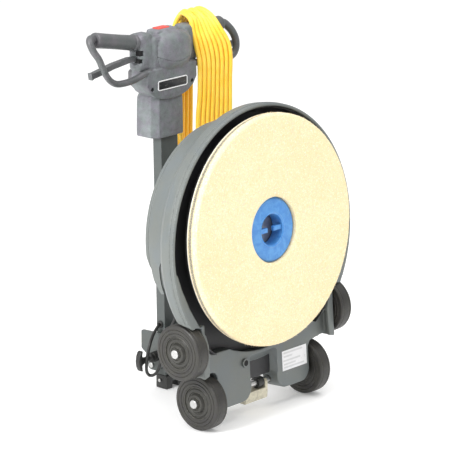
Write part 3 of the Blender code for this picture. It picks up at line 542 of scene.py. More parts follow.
def pad_material():
    """Non-woven fibre: cream with warm, pink and greenish flecks, crossing fibres, a grey seam at the rim."""
    look = Look("pad_fibre")
    colour = look.mix(look.fit(look.noise(9, 3), 0.35, 0.65), rgb(248, 230, 186), rgb(245, 225, 178))
    for scale, low, high, fleck, amount in ((170, 0.5, 0.62, rgb(242, 218, 158), 0.6),
                                            (210, 0.54, 0.64, rgb(244, 210, 184), 0.5),
                                            (260, 0.55, 0.66, rgb(222, 214, 160), 0.5),
                                            (320, 0.54, 0.66, rgb(255, 250, 226), 0.8)):
        colour = look.over(colour, look.fit(look.noise(scale, 3, 0.6, 0.4), low, high), amount, fleck)
    strands = [look.noise(420, 3, 0.6, 0.8, stretch=along) for along in ((1, 1, 0.25), (0.25, 1, 1))]
    fibre = look.calc("MAXIMUM", *strands)
    # painted shade: the low places between the fibres are darker
    colour = look.mix(look.fit(fibre, 0.5, 0.36, 0, 0.35), colour, rgb(206, 184, 136))
    dots = look.fit(look.cells(420), 0.2, 0.55, 0.35, 1.0)
    colour = look.over(colour, look.attribute("seam"), dots, rgb(112, 111, 104))
    look.bump((fibre, 0.0009), (look.noise(1300, 2), 0.0003))
    return look.done(Base_Color=colour, Roughness=look.fit(fibre, 0.3, 0.7, 0.95, 0.75), Sheen_Weight=0.35,
                     Sheen_Roughness=0.5, Specular_IOR_Level=0.15)


def cord_material():
    """Yellow jacket: slightly cloudy, fine matt skin, scuffs, painted warm shade between the turns, a faint
    painted glow.
    """
    look = Look("cord_jacket")
    colour = look.mix(look.fit(look.noise(22, 4), 0.35, 0.65), rgb(250, 206, 62), rgb(252, 216, 84))
    colour = look.over(colour, look.fit(look.noise(90, 5, 0.7), 0.6, 0.75), 0.35, rgb(240, 190, 50))
    scuffs = look.noise(60, 5, 0.7, stretch=(3, 3, 0.4))
    colour = look.over(colour, look.fit(scuffs, 0.66, 0.72), 0.3, rgb(214, 168, 60))
    # painted shade: warmer orange between the turns, where they shade each other
    colour = look.over(colour, look.hollow(0.007), 0.5, rgb(250, 186, 24))
    look.bump((look.noise(700, 3), 0.00012))
    # a faint yellow emission: a painted glow
    return look.done(Base_Color=colour, Roughness=look.fit(look.noise(120, 3), 0.3, 0.7, 0.32, 0.5),
                     Subsurface_Weight=0.2, Subsurface_Scale=0.004, Emission_Color=rgb(250, 200, 90),
                     Emission_Strength=0.06)


def film_material(name, base, bars=False):
    """Printed film: faint wrinkles, dirt, and on the rating label plain grey bars in place of text."""
    look = Look(name)
    colour = look.mix(look.fit(look.noise(40, 4), 0.4, 0.7, 0, 0.5), base, tone(base, 0.86))
    if bars:
        length = look.fit(look.attribute("length"), 0.45, 0.5, 0, 0.3)
        colour = look.over(colour, look.attribute("line"), length, rgb(120, 122, 124))
    colour = look.over(colour, look.fit(look.noise(150, 5, 0.7), 0.58, 0.72), 0.4, rgb(150, 148, 140))
    look.bump((look.noise(60, 3), 0.0002), (look.noise(900, 2), 0.00003))
    return look.done(Base_Color=colour, Roughness=look.fit(look.noise(90, 3), 0.3, 0.7, 0.28, 0.45))


M_PAD, M_CORD = pad_material(), cord_material()
M_RIM = moulded("grip_face_white", rgb(240, 240, 236), cloud=(30, 0.06), mottle=(260, 0.12),
                grain=(1200, 0.1), rough=0.85, depth=0.0006, wear=0, corner_shade=0.3)
M_LABEL = film_material("label_film", rgb(238, 238, 240), bars=True)
M_PLATE = film_material("name_plate_black", rgb(34, 35, 38))
M_BORDER = film_material("name_plate_border", rgb(244, 244, 244))

# ---- deck housing: the CAD solid fused, softened, its ring made truly round
RING_DROP = 0.018  # the ring's centre lies this far below the pad's
RING = mm((100, 84.5, 1), (262, 84.5, 9), (281, 79.5, 8), (290.5, 65, 6), (292.5, 48, 6), (290.5, 31, 2.8),
          (284.5, 31, 2.8), (284.5, 68, 6), (270, 79.5, 4), (100, 79.5, 1))
SHELL = "deck", M_HOUSING, "housing_grey"
BEAD_ENDS = math.radians(-29), math.radians(209)  # left open where the tail begins


def flange(side):
    """The arm's front face: a crescent between the ring's lip and the tail, beside the upper wheel."""
    reach = 0.2895
    angles = np.radians(np.linspace(5, 31.5, 14))
    outer = [(-reach * math.cos(a), -RING_DROP - reach * math.sin(a)) for a in angles]
    outline = outer + mm((-216, -176), (-216, -290), (-199, -286), (-195.8, -221), (-203, -195.1),
                         (-223, -167.9), (-248, -126.3), (-269, -79.1), (-280, -45))
    wall = mm((-216.5, -170), (-207, -170), (-207, -288), (-216.5, -288))
    parts = merge(slab(outline, 0.031, 0.04), slab(wall, 0.031, 0.09))
    if side > 0:
        parts.transform(Matrix.Scale(-1, 4, (1, 0, 0)))
        bmesh.ops.reverse_faces(parts, faces=parts.faces)
    return parts


def resampled(outline, step):
    """A closed outline with points about a step apart; step is a function of where the side starts."""
    out = []
    for (r0, b0), (r1, b1) in zip(outline, outline[1:] + outline[:1]):
        n = max(1, int(math.hypot(r1 - r0, b1 - b0) / step(b0)))
        out += [(r0 + (r1 - r0) * k / n, b0 + (b1 - b0) * k / n) for k in range(n)]
    return out


def clamp(value):
    return min(1.0, max(0.0, value))


def true_ring(co, near=0.0014, far_off=0.0032):
    """Pulls points onto the ring's turned profile, fading out towards the tail."""
    dense = resampled(fillet(RING, steps=10), lambda _: 0.0005)
    tree = kdtree.KDTree(len(dense))
    for index, (r, b) in enumerate(dense):
        tree.insert((r, b, 0), index)
    tree.balance()
    radius = np.hypot(co[:, 0], co[:, 2] + RING_DROP)
    for i in np.nonzero((radius > 0.097) & (radius < 0.297) & (co[:, 1] > 0.026))[0]:
        fade = clamp((co[i, 2] + 0.15) / 0.03)
        if co[i, 1] < 0.045 and radius[i] < 0.289:
            fade = min(fade, max(0.0, (co[i, 2] + 0.05) / 0.03))
        found, _, far = tree.find((radius[i], co[i, 1], 0))
        if fade and far < far_off:
            pull = fade * (1.0 if far < near else 1 - (far - near) / (far_off - near))
            r = radius[i] + (found[0] - radius[i]) * pull
            co[i, 0] *= r / radius[i]
            co[i, 2] = (co[i, 2] + RING_DROP) * r / radius[i] - RING_DROP
            co[i, 1] += (found[1] - co[i, 1]) * pull


deck = make("deck_shell", merge(cad_copy("deck_housing", DECK), flange(-1), flange(1)))
fuse(deck, 0.0019, 3)
points = np.zeros(len(deck.data.vertices) * 3)
deck.data.vertices.foreach_get("co", points)
true_ring(points.reshape(-1, 3))
deck.data.vertices.foreach_set("co", points)
cut(deck, slab(fillet(box(-0.0452, 0.0452, -0.2795, -0.342), 0.008, 6), 0.02, 0.0765))
deck.data.transform(DECK)
ride(deck, *SHELL, "deck_housing", angle=180)

# a rolled bead along the ring's lip and a parting line on its outer wall
for name, r, b, size in (("lip_bead", 0.2908, 0.0338, 0.0011), ("wall_line", 0.2921, 0.0425, 0.0006)):
    arc = [(r * math.cos(a), b, r * math.sin(a) - RING_DROP) for a in np.linspace(*BEAD_ENDS, 240)]
    piece(f"ring_{name}", sweep(arc, size, 8), DECK, *SHELL, angle=180)

# the tail's notch has a dark back wall, and a small hole with a raised rim beside it; a near-black disc inside
# the rim is the hole's painted shadow
keep(M_LINER, 0.0004, "inner_shroud")
recess = fillet(box(-0.045, 0.045, -0.262, -0.34), 0.006, 6)
piece("tail_recess_wall", slab(recess, 0.0775, 0.0812, "Y", 0.001), DECK, "deck", M_LINER, "liner_black")
HOLE = -0.062, 0, -0.291
RIM = mm((6.6, 50, 0.3), (6.6, 54.6, 0.4), (7.4, 55.4, 0.4), (9, 55.1, 0.5), (9.4, 50, 0.3))
HOLE_SHADE = mm((0, 53.6), (5.6, 53.8, 0.2), (6.8, 54.5, 0.2), (7, 50, 0.2), (0, 50))
rim = lathe(fillet(RIM, steps=4), 48)
hole_shade = lathe(fillet(HOLE_SHADE, closed=False, steps=3), 40)
piece("hole_rim", turned(rim, *HOLE), DECK, *SHELL)
piece("hole_painted_shadow", turned(hole_shade, *HOLE), DECK, "deck", M_DARK, "liner_black")

# ---- motor hood: two-tier thin cover, its lower end cut away
HOOD_DROP = 0.012  # the hood's centre lies this far below the pad's
HOOD = mm((108, 168, 1), (230, 168, 6), (240.5, 160, 4), (240.5, 153, 2), (238.5, 151.5, 1.5), (244, 147, 4),
          (252.5, 84.8, 1), (249, 84.8, 1), (240, 145, 4), (234.5, 160, 4), (228, 164.5, 3), (108, 164.5, 1))
TONGUE = mm((70, 35, 0), (118.5, -45.5, 20), (125.5, -88, 10), (126.5, -109, 3), (137, -111, 3),
            (145.5, -84, 20), (150, -59.5, 20), (157, -36, 20), (164, -14, 10), (200, 10, 0), (200, -300, 0),
            (70, -300, 0))
SCREW = mm((0, 0), (6.2, 0, 0.2), (6.2, 1.6, 1), (3.4, 2.8, 1), (3, 1.4, 0.3), (0, 1.4))
hood = make("hood_cover", turned(lathe(fillet(HOOD, steps=6), 288), 0, 0, -HOOD_DROP), DECK)
cut(hood, slab(fillet(TONGUE, steps=4), -0.3, 0.3, "X"), place=DECK)
ride(hood, *SHELL, "motor_hood")


def on_hood(degrees, r, depth):
    """A point on the hood's flat back, by clock angle and radius."""
    a = math.radians(degrees)
    return math.cos(a) * r, depth, math.sin(a) * r - HOOD_DROP


ribs, screws = [], []
for degrees in np.arange(7.5, 360, 15):
    if math.sin(math.radians(degrees)) > 0.14:
        path = [on_hood(degrees, r, 0.168) for r in np.linspace(0.124, 0.176, 10)]
        ribs.append(sweep(path, 0.0022, 10, flat=0.9))
for degrees in range(14, 167, 38):
    screw = lathe(fillet(SCREW, closed=False, steps=3), 28)
    screws.append(turned(screw, *on_hood(degrees, 0.214, 0.1678)))
piece("hood_ribs", merge(*ribs), DECK, *SHELL, angle=180)
piece("hood_screws", merge(*screws), DECK, "deck", M_STEEL, "zinc_steel", angle=50)

# ---- burnishing pad: displaced fibre disc with a ragged rim
PAD = mm((72.5, 3, 1), (78, 0.4, 4), (250.5, 0, 3), (254.8, 3.5, 3), (255.2, 15, 2), (252.8, 18.5, 1),
         (252.8, 21.2, 1), (254.2, 24, 0.6), (72.5, 24, 0.6))
# fine on the face and rim, coarse on the hidden back
profile = resampled(fillet(PAD, steps=4), lambda b: 0.0022 if b < 0.023 else 0.02)
bm = lathe(profile, 720)
bm.transform(INTO_DEPTH)
bm.normal_update()
for v in bm.verts:
    if v.co.y < 0.0235 and v.co.xz.length > 0.074:
        p = v.co
        rise = 0.45 * noise.noise(p * 290 + Vector((3, 1, 7)))
        rise += 0.55 * noise.noise(p * 130) + 0.35 * noise.noise(p * 36)
        v.co = p + v.normal * (rise * 0.0007 - 0.0004)
SEAM_DEPTH, SEAM_HALF, RIM_FROM = 0.0172, 0.0066, 0.2505
seam = [clamp(2.2 * (1 - abs(v.co.y - SEAM_DEPTH) / SEAM_HALF)) * (v.co.xz.length > RIM_FROM)
        for v in bm.verts]
pad = make("pad_disc", bm, DECK)
paint(pad, seam=seam)
ride(pad, "pad_drive", M_PAD, "pad_cream", "burnishing_pad", angle=180)


def tuft(angle, radius, depth, length, thick):
    """One loose fibre, rooted in the rim."""
    out = Vector((math.cos(angle), 0, math.sin(angle)))
    along = Vector((-out.z, 0, out.x))
    bend = random.uniform(-1, 1)
    push = random.uniform(-0.6, 0.3)
    path = [out * (radius - 0.0006 + length * t * (1 - 0.3 * t)) + along * (length * bend * t * t)
            + Vector((0, depth + push * length * t, 0)) for t in (0, 0.35, 0.7, 1)]
    return sweep(path, [thick, thick * 0.9, thick * 0.7, thick * 0.35], 4, cap=False)


def long_fibre_angle():
    """Long loose fibres sit mostly at the top, the lower left and the left."""
    return math.radians(random.choice((random.gauss(92, 7), random.gauss(240, 16), random.gauss(185, 25))))


between = random.uniform
fibres, stitches = ((900, 480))
loose, sewn = [], []
for _ in range(fibres):
    angle = between(0, 2 * math.pi)
    loose.append(tuft(angle, 0.254, between(0.002, 0.0155), between(0.0012, 0.0034), 0.00022))
for _ in range(fibres // 9):
    angle = long_fibre_angle()
    loose.append(tuft(angle, 0.254, between(0.001, 0.0145), between(0.003, 0.0075), 0.00026))
piece("pad_rim_fibres", merge(*loose), DECK, "pad_drive", M_PAD, "pad_cream", angle=180)
for k in range(stitches):
    a = 2 * math.pi * (k + between(-0.2, 0.2)) / stitches
    sewn.append(tuft(a, 0.2531, 0.02 + between(-0.0012, 0.0012), between(0.001, 0.0019), 0.00034))
piece("pad_seam_fibres", merge(*sewn), DECK, "pad_drive", M_CREAM, "pad_cream", angle=180)

GRIPFACE = mm((38.5, 24.3, 0.4), (253.2, 24.3, 0.8), (253.2, 26.3, 0.8), (38.5, 26.3, 0.4))
grip_face = lathe(fillet(GRIPFACE, steps=3), 288)
piece("grip_face_disc", turned(grip_face, 0, 0, 0), DECK, "pad_drive", M_RIM, "rim_white", "driver_grip_face")
keep(M_BLACK, 0.0008, "pad_driver", "cooling_fan")
keep(M_STEEL, 0.0008, "motor_shaft", "front_bearing", "rear_bearing")
keep(M_ALLOY, 0.0008, "driver_hub", "motor_case", "motor_end_bell")
keep(M_IRON, 0.0008, "rotor")
keep(M_COPPER, 0.0008, "stator")

# ---- pad retainer: flange, bore and two key tabs
RETAINER = mm((34.5, 9.2, 1.2), (38, 7.2, 1), (40, 8.5, 1), (67.2, 8.5, 4), (71.5, 11.2, 2),
              (71.5, 23.7, 0.6), (37.7, 23.7, 0.6), (37.7, 38.5, 0.6), (34.5, 38.5, 0.6))
ring = make("retainer_flange", lathe(fillet(RETAINER, steps=5), 160), DECK, INTO_DEPTH)
tabs = [block((x, 0.0125, -0.0053), (x + 0.026, 0.0205, 0.0053), 0.0011) for x in (0.0095, -0.0355)]
cut(ring, merge(*tabs), place=DECK, operation="UNION")
ride(ring, "pad_retainer", M_BLUE, "retainer_blue", "pad_retainer", angle=35)

# ---- wheels
TYRE = mm((37.5, -17, 0.8), (42.5, -17.6, 0.6), (43.4, -16.2, 0.3), (44.6, -16.2, 0.3), (45.5, -17.8, 0.6),
          (50.6, -17.9, 0.4), (51.4, -16.5, 0.3), (52.6, -16.5, 0.3), (53.4, -17.8, 0.6), (59, -17, 0.8),
          (60.6, -16, 0.6), (61.4, -14.2, 0.5), (61.8, -11.2, 0.4), (61, -10.4, 0.3), (61, -8.8, 0.3),
          (61.9, -8, 0.4), (62, 0, 4))
TYRE += [(r, -h, f) for r, h, f in TYRE[-2::-1]]
# the hub's disc between its inner and outer boss
WEB = mm((20.5, -14.5, 1), (33, -13.8, 1), (34.5, -16.2, 0.8), (37.4, -16.2, 0.4), (37.4, 16.6, 0.4),
         (35.2, 17.2, 0.8), (34, 14, 0.8), (32.2, 14, 0.8), (30.5, 15.8, 1), (25.2, 16.6, 0.8),
         (24, 15, 0.5), (22.6, 15, 0.5), (21.6, 17.2, 0.6))
WHEEL_HALF = 0.018


def wheel(side, height, inner, bore):
    """Tyre and hub about the wheel's own axle; side is -1 on the left, inner is the wheel's inner face."""
    name = f"{height}_{'left' if side < 0 else 'right'}"
    at = Vector(JOINT[f"{name}_wheel_spin"]["pos_m"])
    at.x = side * (inner + WHEEL_HALF)
    place = Matrix.Translation(at) @ Matrix.Rotation(math.pi / 2 * side, 4, "Y")
    low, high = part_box(f"{name}_hub")
    front = (high.x if side > 0 else -low.x) - inner - WHEEL_HALF
    back = -(inner + WHEEL_HALF - (low.x if side > 0 else -high.x))
    disc = [(bore, back, 0.0005), (0.0195, back, 0.001), *WEB,
            (0.019, front - 0.001, 0.001), (0.015, front - 0.0002, 0.0006), (0.014, front - 0.0022, 0.0004),
            (0.0122, front - 0.0022, 0.0004), (0.0114, front, 0.0005), (bore, front, 0.0005)]
    tyre = make(f"{name}_tyre_ring", lathe(fillet(TYRE, steps=4), 128), local=place)
    ride(tyre, f"{name}_wheel", M_TYRE, "tyre_rubber", f"{name}_tyre")
    hub = make(f"{name}_hub_disc", lathe(fillet(disc, steps=4), 96), local=place)
    ride(hub, f"{name}_wheel", M_HUB, "black_plastic", f"{name}_hub")


for side in (-1, 1):
    wheel(side, "upper", 0.219, 0.0052)
    wheel(side, "lower", 0.154, 0.0078)
keep(M_STEEL, 0.0005, "upper_left_wheel_bolt", "upper_right_wheel_bolt", "lower_axle", "axle_cap")
keep(M_STEEL, 0.0005, "pivot_pin", "foot_bolt", "lug_bolt")
keep(M_BLACK, 0.0012, "axle_collar")
keep(M_CREAM, 0.002, "tail_skid")

# ---- bracket, knob, post, foot
keep(M_PAINT, 0.0012, "handle_bracket")
keep(M_PAINT, 0.0006, "handle_post")
keep(M_BLACK, 0.001, "clamp_boss", "cable_grommet")
keep(M_BLACK, 0.0005, "pivot_bush")
WING = mm((-92.5, 24.5, 2), (-99, 22.5, 6), (-104, 12, 12), (-105.8, 0, 20), (-104, -12, 12),
          (-99, -22.5, 6), (-92.5, -24.5, 2), (-93.5, -19, 6), (-95, -11, 6), (-90, -7.2, 3), (-85, -6.6, 4),
          (-85, 6.6, 4), (-90, 7.2, 3), (-95, 11, 6), (-93.5, 19, 6))
STEM = mm((0, 0), (9.8, 0, 1), (10.4, 6, 2), (6.6, 10, 3), (5.8, 20, 4), (7.2, 30, 2), (0, 30))
KNOB = "clamp_knob", M_BLACK, "black_plastic", "clamp_knob"
_, y, z = JOINT["clamp_knob_turn"]["pos_m"]
wing = slab(fillet(WING, steps=4), -0.0062, 0.0062, "Y", 0.0026)
piece("knob_wing", wing, Matrix.Translation((0, y, z)), *KNOB)
root = Matrix.Translation((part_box("clamp_knob")[1].x, y, z)) @ Matrix.Rotation(-math.pi / 2, 4, "Y")
piece("knob_stem", lathe(fillet(STEM, closed=False, steps=4), 40), root, *KNOB)
low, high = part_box("end_foot")
prongs = [(low.x, 0, 0.0015), (low.x + 0.02, 0, 0.0015), (low.x + 0.0215, 0.023, 0.005),
          (high.x - 0.0215, 0.023, 0.005), (high.x - 0.02, 0, 0.0015), (high.x, 0, 0.0015),
          (high.x, high.z, 0.0015), (low.x, high.z, 0.0015)]
foot = slab(fillet(prongs, steps=4), low.y, high.y, "Y", 0.0014)
piece("end_foot_block", foot, HERE, "handle", M_BLACK, "black_plastic", "end_foot")

# motor lead: its slack between the handle and the deck is left attached to neither body, the rest stays with
# the deck
cable = mm((-34, 257.3, 149.3), (-48, 252, 144), (-66, 245.5, 135), (-80, 240.5, 120.5), (-87, 241.5, 98),
           (-87, 245.5, 72), (-80, 250, 50), (-71, 249, 41.8), (-66, 240.5, 45), (-66, 229, 60),
           (-66, 216, 100), (-64, 196, 155), (-56, 165, 220), (-46, 136, 280), (-40, 125, 318))
line = curve(cable, 9)
lowest = min(range(len(line)), key=lambda i: (line[i] - Vector(cable[7])).length)
slack = make("motor_lead_slack", sweep(line[:lowest + 1], 0.0036, 16), MACHINE)
shade(slack, 180)
slack.data.materials.append(M_CABLE)
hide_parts("motor_cable")
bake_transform(slack)
piece("motor_lead_fixed", sweep(line[lowest - 2:], 0.00355, 16), MACHINE, "deck", M_CABLE, "cable_black",
      "motor_cable", angle=180)

# ---- label and name plate
LEFT, BOTTOM, WIDE, TALL = 0.061, -0.34, 0.082, 0.045  # the label's place on the tail
NX, NZ = 60, 44
label = bmesh.new()
grid = []
for k in range(NZ + 1):
    height = BOTTOM + TALL * k / NZ
    grid.append([label.verts.new((LEFT + WIDE * i / NX, 0.05422, height)) for i in range(NX + 1)])
for k in range(NZ):
    for i in range(NX):
        label.faces.new((grid[k][i], grid[k][i + 1], grid[k + 1][i + 1], grid[k + 1][i]))
raised = bmesh.ops.extrude_face_region(label, geom=label.faces[:])["geom"]
lifted = [g for g in raised if isinstance(g, bmesh.types.BMVert)]
bmesh.ops.translate(label, vec=(0, 0.00048, 0), verts=lifted)
bmesh.ops.recalc_face_normals(label, faces=label.faces)
line, length = [], []
for v in label.verts:
    u, w = (v.co.x - LEFT) / WIDE, (v.co.z - BOTTOM) / TALL
    row = int(w * 11)
    inside = 0.06 < u < 0.94 and 0.06 < w < 0.94 and row % 2 == 1
    line.append(1.0 if inside else 0.0)
    length.append(1.0 if u < (0.9, 0.55, 0.75, 0.4, 0.85, 0.62)[row // 2 % 6] else 0.0)
label = make("rating_film", label, DECK)
paint(label, line=line, length=length)
ride(label, "deck", M_LABEL, "label_white", "rating_label", angle=30)

plate = slab(fillet(box(-0.0455, 0.0455, 0.6944, 0.7136), 0.003, 6), 0.24165, 0.24235, "Y", 0.00012, 2)
piece("plate_field", plate, MACHINE, "handle", M_PLATE, "label_white", "name_plate")
border = [Vector((x, 0.242, z)) for x, z in fillet(box(-0.0462, 0.0462, 0.6938, 0.7142), 0.0042, 8)]
SECTION = mm((1.2, 0.4), (1.2, -0.4), (0.8, -0.8), (-0.8, -0.8), (-1.2, -0.4), (-1.2, 0.4))
rings = []
for i, p in enumerate(border):
    t = (border[(i + 1) % len(border)] - border[i - 1]).normalized()
    out = Vector((t.z, 0, -t.x))
    rings.append([p + out * a + Vector((0, b, 0)) for a, b in SECTION])
piece("plate_border", skin(rings), MACHINE, "handle", M_BORDER, "label_white")

# ---- head: soft moulded housing fused from overlapping forms
BULGE, SPREAD, POWER = (0.009, 0.264, 0.775), (0.061, 0.0315, 0.045), 2.9


def on_bulge(x, z):
    """The point of the head's front bulge at x and z, a touch proud."""
    rest = 1 - abs((x - BULGE[0]) / SPREAD[0]) ** POWER - abs((z - BULGE[2]) / SPREAD[2]) ** POWER
    return x, BULGE[1] - SPREAD[1] * max(rest, 0.0) ** (1 / POWER) - 0.0002, z


shoulders = []
for side in (-1, 1):
    shoulders += [ball((side * 0.07, 0.2695, 0.783), (0.0215, 0.0215, 0.042), 3.2),
                  ball((side * 0.08, 0.27, 0.8035), (0.015, 0.02, 0.02), 2.3),
                  ball((side * 0.064, 0.26, 0.728), (0.017, 0.016, 0.017), 2.4)]
top = ball((0.006, 0.271, 0.811), (0.044, 0.02, 0.0125), 2.6)
cheek = ball((-0.056, 0.26, 0.756), (0.013, 0.013, 0.033), 2.6)
forms = [cad_copy("head_housing", MACHINE), *shoulders, top, ball(BULGE, SPREAD, POWER), cheek]
head = make("head_shell", merge(*forms))
fuse(head, 0.0014, 5)
SMILE = mm((-48, 770), (-34, 764), (-10, 756), (15, 753), (40, 757), (56, 764), (64, 772))
CREASE = mm((-42, 803), (-45.5, 790), (-47, 775), (-45, 762), (-40, 750))
SLOTS = mm((88, 250, 783, 4.6, 6), (90, 251, 765.5, 4.4, 4.6))  # x, y, z and half sizes in x, z


def slot_boxes(side, near, far, dy=0.0, more=0.0):
    """Boxes in the two lever slots of one side, from near in front of y to far behind it."""
    return [block((side * x - a - more, y + dy - near, z - b - more),
                  (side * x + a + more, y + dy + far, z + b + more), 0.0008)
            for x, y, z, a, b in SLOTS]


tools, slot_shade_boxes = [], []
for line, r in (SMILE, 0.0014), (CREASE, 0.0011):
    tools.append(sweep(curve([on_bulge(*point) for point in line]), r, 8))
for side in (-1, 1):
    tools += slot_boxes(side, 0.008, 0.012)
    hole = lathe([(0, 0), (0.0048, 0), (0.0048, 0.02), (0, 0.02)], 24)
    tools.append(turned(hole, side * 0.064, 0.233, 0.699))
    slot_shade_boxes += slot_boxes(side, 0.003, 0.01, 0.006, 0.0004)
cut(head, *tools)
head.data.transform(MACHINE)
ride(head, "handle", M_HEAD, "head_grey", "head_housing", "head_front_cover", angle=38)
# near-black boxes behind the lever slots: painted shadow inside the slots
piece("lever_slot_shadows", merge(*slot_shade_boxes), MACHINE, "handle", M_DARK, "black_plastic")

# collar: eight-sided sleeve that runs up behind the chin, slightly flared at its foot
CORNERS = mm((52, 261), (38, 247), (3, 246.2), (-38, 247), (-52, 261), (-52, 303), (-38, 317), (38, 317),
             (52, 303))
# heights, and how large the outline is there in thousandths
GROWTH = mm((583.5, 965), (584.2, 985), (586.2, 998), (590, 1000), (600, 1000), (650, 985), (666, 975),
            (670, 955), (676, 900), (690, 860), (691.5, 840))
POST_Y = 0.282
around = fillet(CORNERS, 0.003, 3)
rings = [[(x * grow, POST_Y + (y - POST_Y) * grow, z) for x, y in around] for z, grow in GROWTH]
sleeve = skin(rings, wrap=False)
piece("collar_sleeve", sleeve, MACHINE, "handle", M_HEAD, "head_grey", "head_collar", angle=30)
keep(M_GRIP, 0.003, "head_back_cover")
keep(M_GRIP, 0.0028, "left_switch_lever", "right_switch_lever")
keep(M_BLACK, 0.001, "switch_block", "cord_strain_relief", "cord_plug")
keep(M_STEEL, 0.0004, "left_lever_pin", "right_lever_pin")
keep(M_RED, 0.0016, "safety_button")

# ---- grips and guard bows; the right pair sits lower, as in the photograph
TAIL_OF_LOOP = mm((172, 248.5, 729.5), (145.5, 249, 727), (113.4, 249.5, 729.2), (86, 250, 735.5),
                  (64, 251, 739))
LOOPS = {
    "left": mm((220.5, 270, 830.7), (230, 268.5, 834.5), (239, 262, 830), (237, 254, 812), (224, 250, 792),
               (214, 249, 772), (203, 248.5, 753), (190, 248.5, 739)),
    "right": mm((188.5, 270, 806), (198, 269, 804.5), (206.5, 264, 796), (213, 256, 783), (216.5, 250, 766),
                (215, 248, 748), (206, 248, 735), (189, 248, 730))}
INNER, COLLAR_END, GROOVE_END, SLEEVE = 0.0933, 0.101, 0.103, 0.0172


def grip_radius(x, out):
    """A collar by the head, a groove, a slightly waisted sleeve and a rounded end at out."""
    if x < COLLAR_END:
        return 0.019
    if x < GROOVE_END:
        return 0.0162
    if x > out - 0.003:
        return SLEEVE - (x - out + 0.003) * 0.5
    return SLEEVE - 0.0007 * math.sin((x - 0.1) / (out - 0.1) * math.pi)


for side, word, out, slope in ((-1, "left", 0.218, 0.2064), (1, "right", 0.186, 0.0)):
    spots = np.linspace(INNER, out, 60)
    path = [(side * x, 0.27, 0.806 + slope * (x - 0.1006)) for x in spots]
    sleeve = sweep(path, [grip_radius(x, out) for x in spots], 40, cap=False)
    piece(f"{word}_grip_sleeve", sleeve, MACHINE, "handle", M_GRIP, "head_grey", f"{word}_grip", angle=60)
    line = curve([(side * x, y, z) for x, y, z in LOOPS[word] + TAIL_OF_LOOP])
    thick = [0.0096 - 0.0016 * min(1, i / len(line) * 2.2) for i in range(len(line))]
    bow = sweep(line, thick, 28, flat=0.9)
    piece(f"{word}_guard_bow", bow, MACHINE, "handle", M_GRIP, "head_grey", f"{word}_guard_loop", angle=180)

# ---- power cord: one length, eight turns over the right grip
turns = []
for i in range(8):
    t = i / 7
    s = 1 - t
    fx, fy = 0.0887 + 0.0718 * t, 0.242 - 0.025 * t  # front strand, t from the head outwards
    rx, ry = 0.086 + 0.047 * t, 0.311 if i % 2 else 0.3195  # rear strand
    top, low = 0.8455 + 0.003 * math.sin(i * 2.1), 0.385 + 0.012 * math.sin(i * 1.7)
    turns += [(fx - 0.006 * s, fy, 0.5), (fx - 0.0067 * s, fy, 0.611), (fx - 0.002 * s, fy, 0.651),
              (fx, fy, 0.691),
              (fx - 0.0033 * s, fy - 0.001, 0.7425), (fx - 0.01 + 0.006 * t, fy + 0.002, 0.774),
              (fx - 0.012 - 0.008 * t, fy + 0.01, 0.806), (fx - 0.014 - 0.012 * t, 0.258 - 0.006 * t,
                  top - 0.012),
              (0.6 * fx + 0.4 * rx - 0.012 - 0.009 * t, 0.28, top - 0.001), (rx - 0.002, 0.3, top - 0.012),
              (rx, ry - 0.003, 0.806), (rx, ry, 0.76), (rx, ry, 0.64), (rx, ry, 0.5),
              (rx + 0.002, ry - 0.012, low + 0.018), (0.5 * (rx + fx) + 0.004, 0.275, low),
              (fx + 0.004, fy + 0.014, low + 0.02)]
start = mm((40, 337, 700), (41, 340, 706), (46, 338, 722), (60, 325, 715), (76, 308, 660), (83, 295, 560),
           (84, 270, 450), (83, 250, 440))
end = mm((142, 306, 420), (133, 320, 430), (118, 330, 460), (112, 333, 500), (111, 333, 522))
CORD = MACHINE, "handle", M_CORD, "cord_yellow"
piece("cord_turns", sweep(curve(turns, 7), 0.0053), *CORD, "cord_coil", angle=180)
piece("cord_start_lead", sweep(curve(start), 0.0046), *CORD, angle=180)
piece("cord_plug_lead", sweep(curve(end), 0.0046), *CORD, angle=180)

# ---- stage, light, camera
look = Look("floor_white")
pale = look.mix(look.fit(look.noise(3, 3), 0.3, 0.7), (0.9, 0.9, 0.9, 1), (0.93, 0.93, 0.925, 1))
look.bump((look.noise(400, 2), 0.00005))
look.done(Base_Color=pale, Roughness=0.6, Emission_Color=(1, 1, 1, 1), Emission_Strength=0.16)
bm = bmesh.new()
bmesh.ops.create_grid(bm, x_segments=2, y_segments=2, size=14)
floor = make("floor", bm, Matrix.Translation((0, 0, -0.0005)))
floor.data.materials.append(look.material)

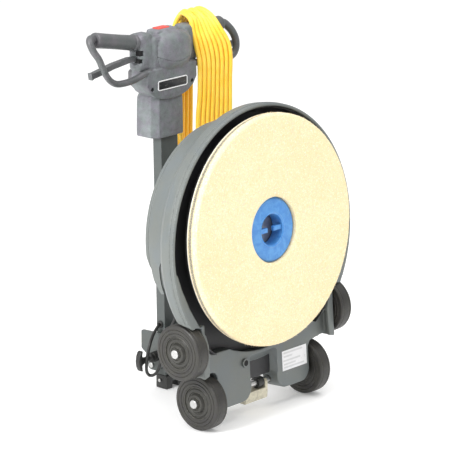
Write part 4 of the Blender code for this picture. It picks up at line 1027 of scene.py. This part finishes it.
# white to the camera; to the object the light is dim at the horizon and bright overhead
HORIZON, ZENITH = 0.42, 1.05
world = bpy.data.worlds.new("studio")
bpy.context.scene.world = world
world.use_nodes = True
sky = world.node_tree
direction = sky.nodes.new("ShaderNodeTexCoord")
split = sky.nodes.new("ShaderNodeSeparateXYZ")
height = sky.nodes.new("ShaderNodeMapRange")
seen = sky.nodes.new("ShaderNodeLightPath")
white = sky.nodes.new("ShaderNodeMath")
white.operation = "MAXIMUM"
height.inputs["From Min"].default_value, height.inputs["From Max"].default_value = -0.05, 0.9
height.inputs["To Min"].default_value, height.inputs["To Max"].default_value = HORIZON, ZENITH
sky.links.new(direction.outputs["Generated"], split.inputs[0])
sky.links.new(split.outputs["Z"], height.inputs["Value"])
sky.links.new(height.outputs[0], white.inputs[0])
sky.links.new(seen.outputs["Is Camera Ray"], white.inputs[1])
sky.links.new(white.outputs[0], sky.nodes["Background"].inputs["Strength"])
sky.nodes["Background"].inputs["Color"].default_value = (1, 1, 1, 1)


def area(name, spot, target, size, power):
    """A round soft light."""
    light = bpy.data.lights.new(name, "AREA")
    light.shape, light.size, light.energy = "DISK", size, power
    obj = bpy.data.objects.new(name, light)
    obj.location = spot
    obj.rotation_euler = (Vector(target) - Vector(spot)).to_track_quat("-Z", "Y").to_euler()
    bpy.context.scene.collection.objects.link(obj)


area("key", (-3.6, 0.1, 2.3), (0, 0, 0.4), 1.5, 150)
area("top", (0.4, -1.2, 3.4), (0, 0, 0.3), 2.0, 45)

# the photograph's camera: 48 degrees to the left of the pad's front, 15.46 degrees up, a long lens
camera = bpy.data.objects.new("camera", bpy.data.cameras.new("camera"))
bpy.context.scene.collection.objects.link(camera)
camera.data.lens, camera.data.sensor_width, camera.data.clip_end = 248.6, 36, 60
azimuth, rise = math.radians(48), math.radians(15.46)
back = Vector((-math.sin(azimuth) * math.cos(rise), -math.cos(azimuth) * math.cos(rise), math.sin(rise)))
camera.location = PAD_CENTRE + Vector((-4.891, -4.2576, 1.8045))
camera.rotation_euler = back.to_track_quat("Z", "Y").to_euler()
bpy.context.scene.camera = camera
bpy.context.scene.view_settings.view_transform = "Standard"
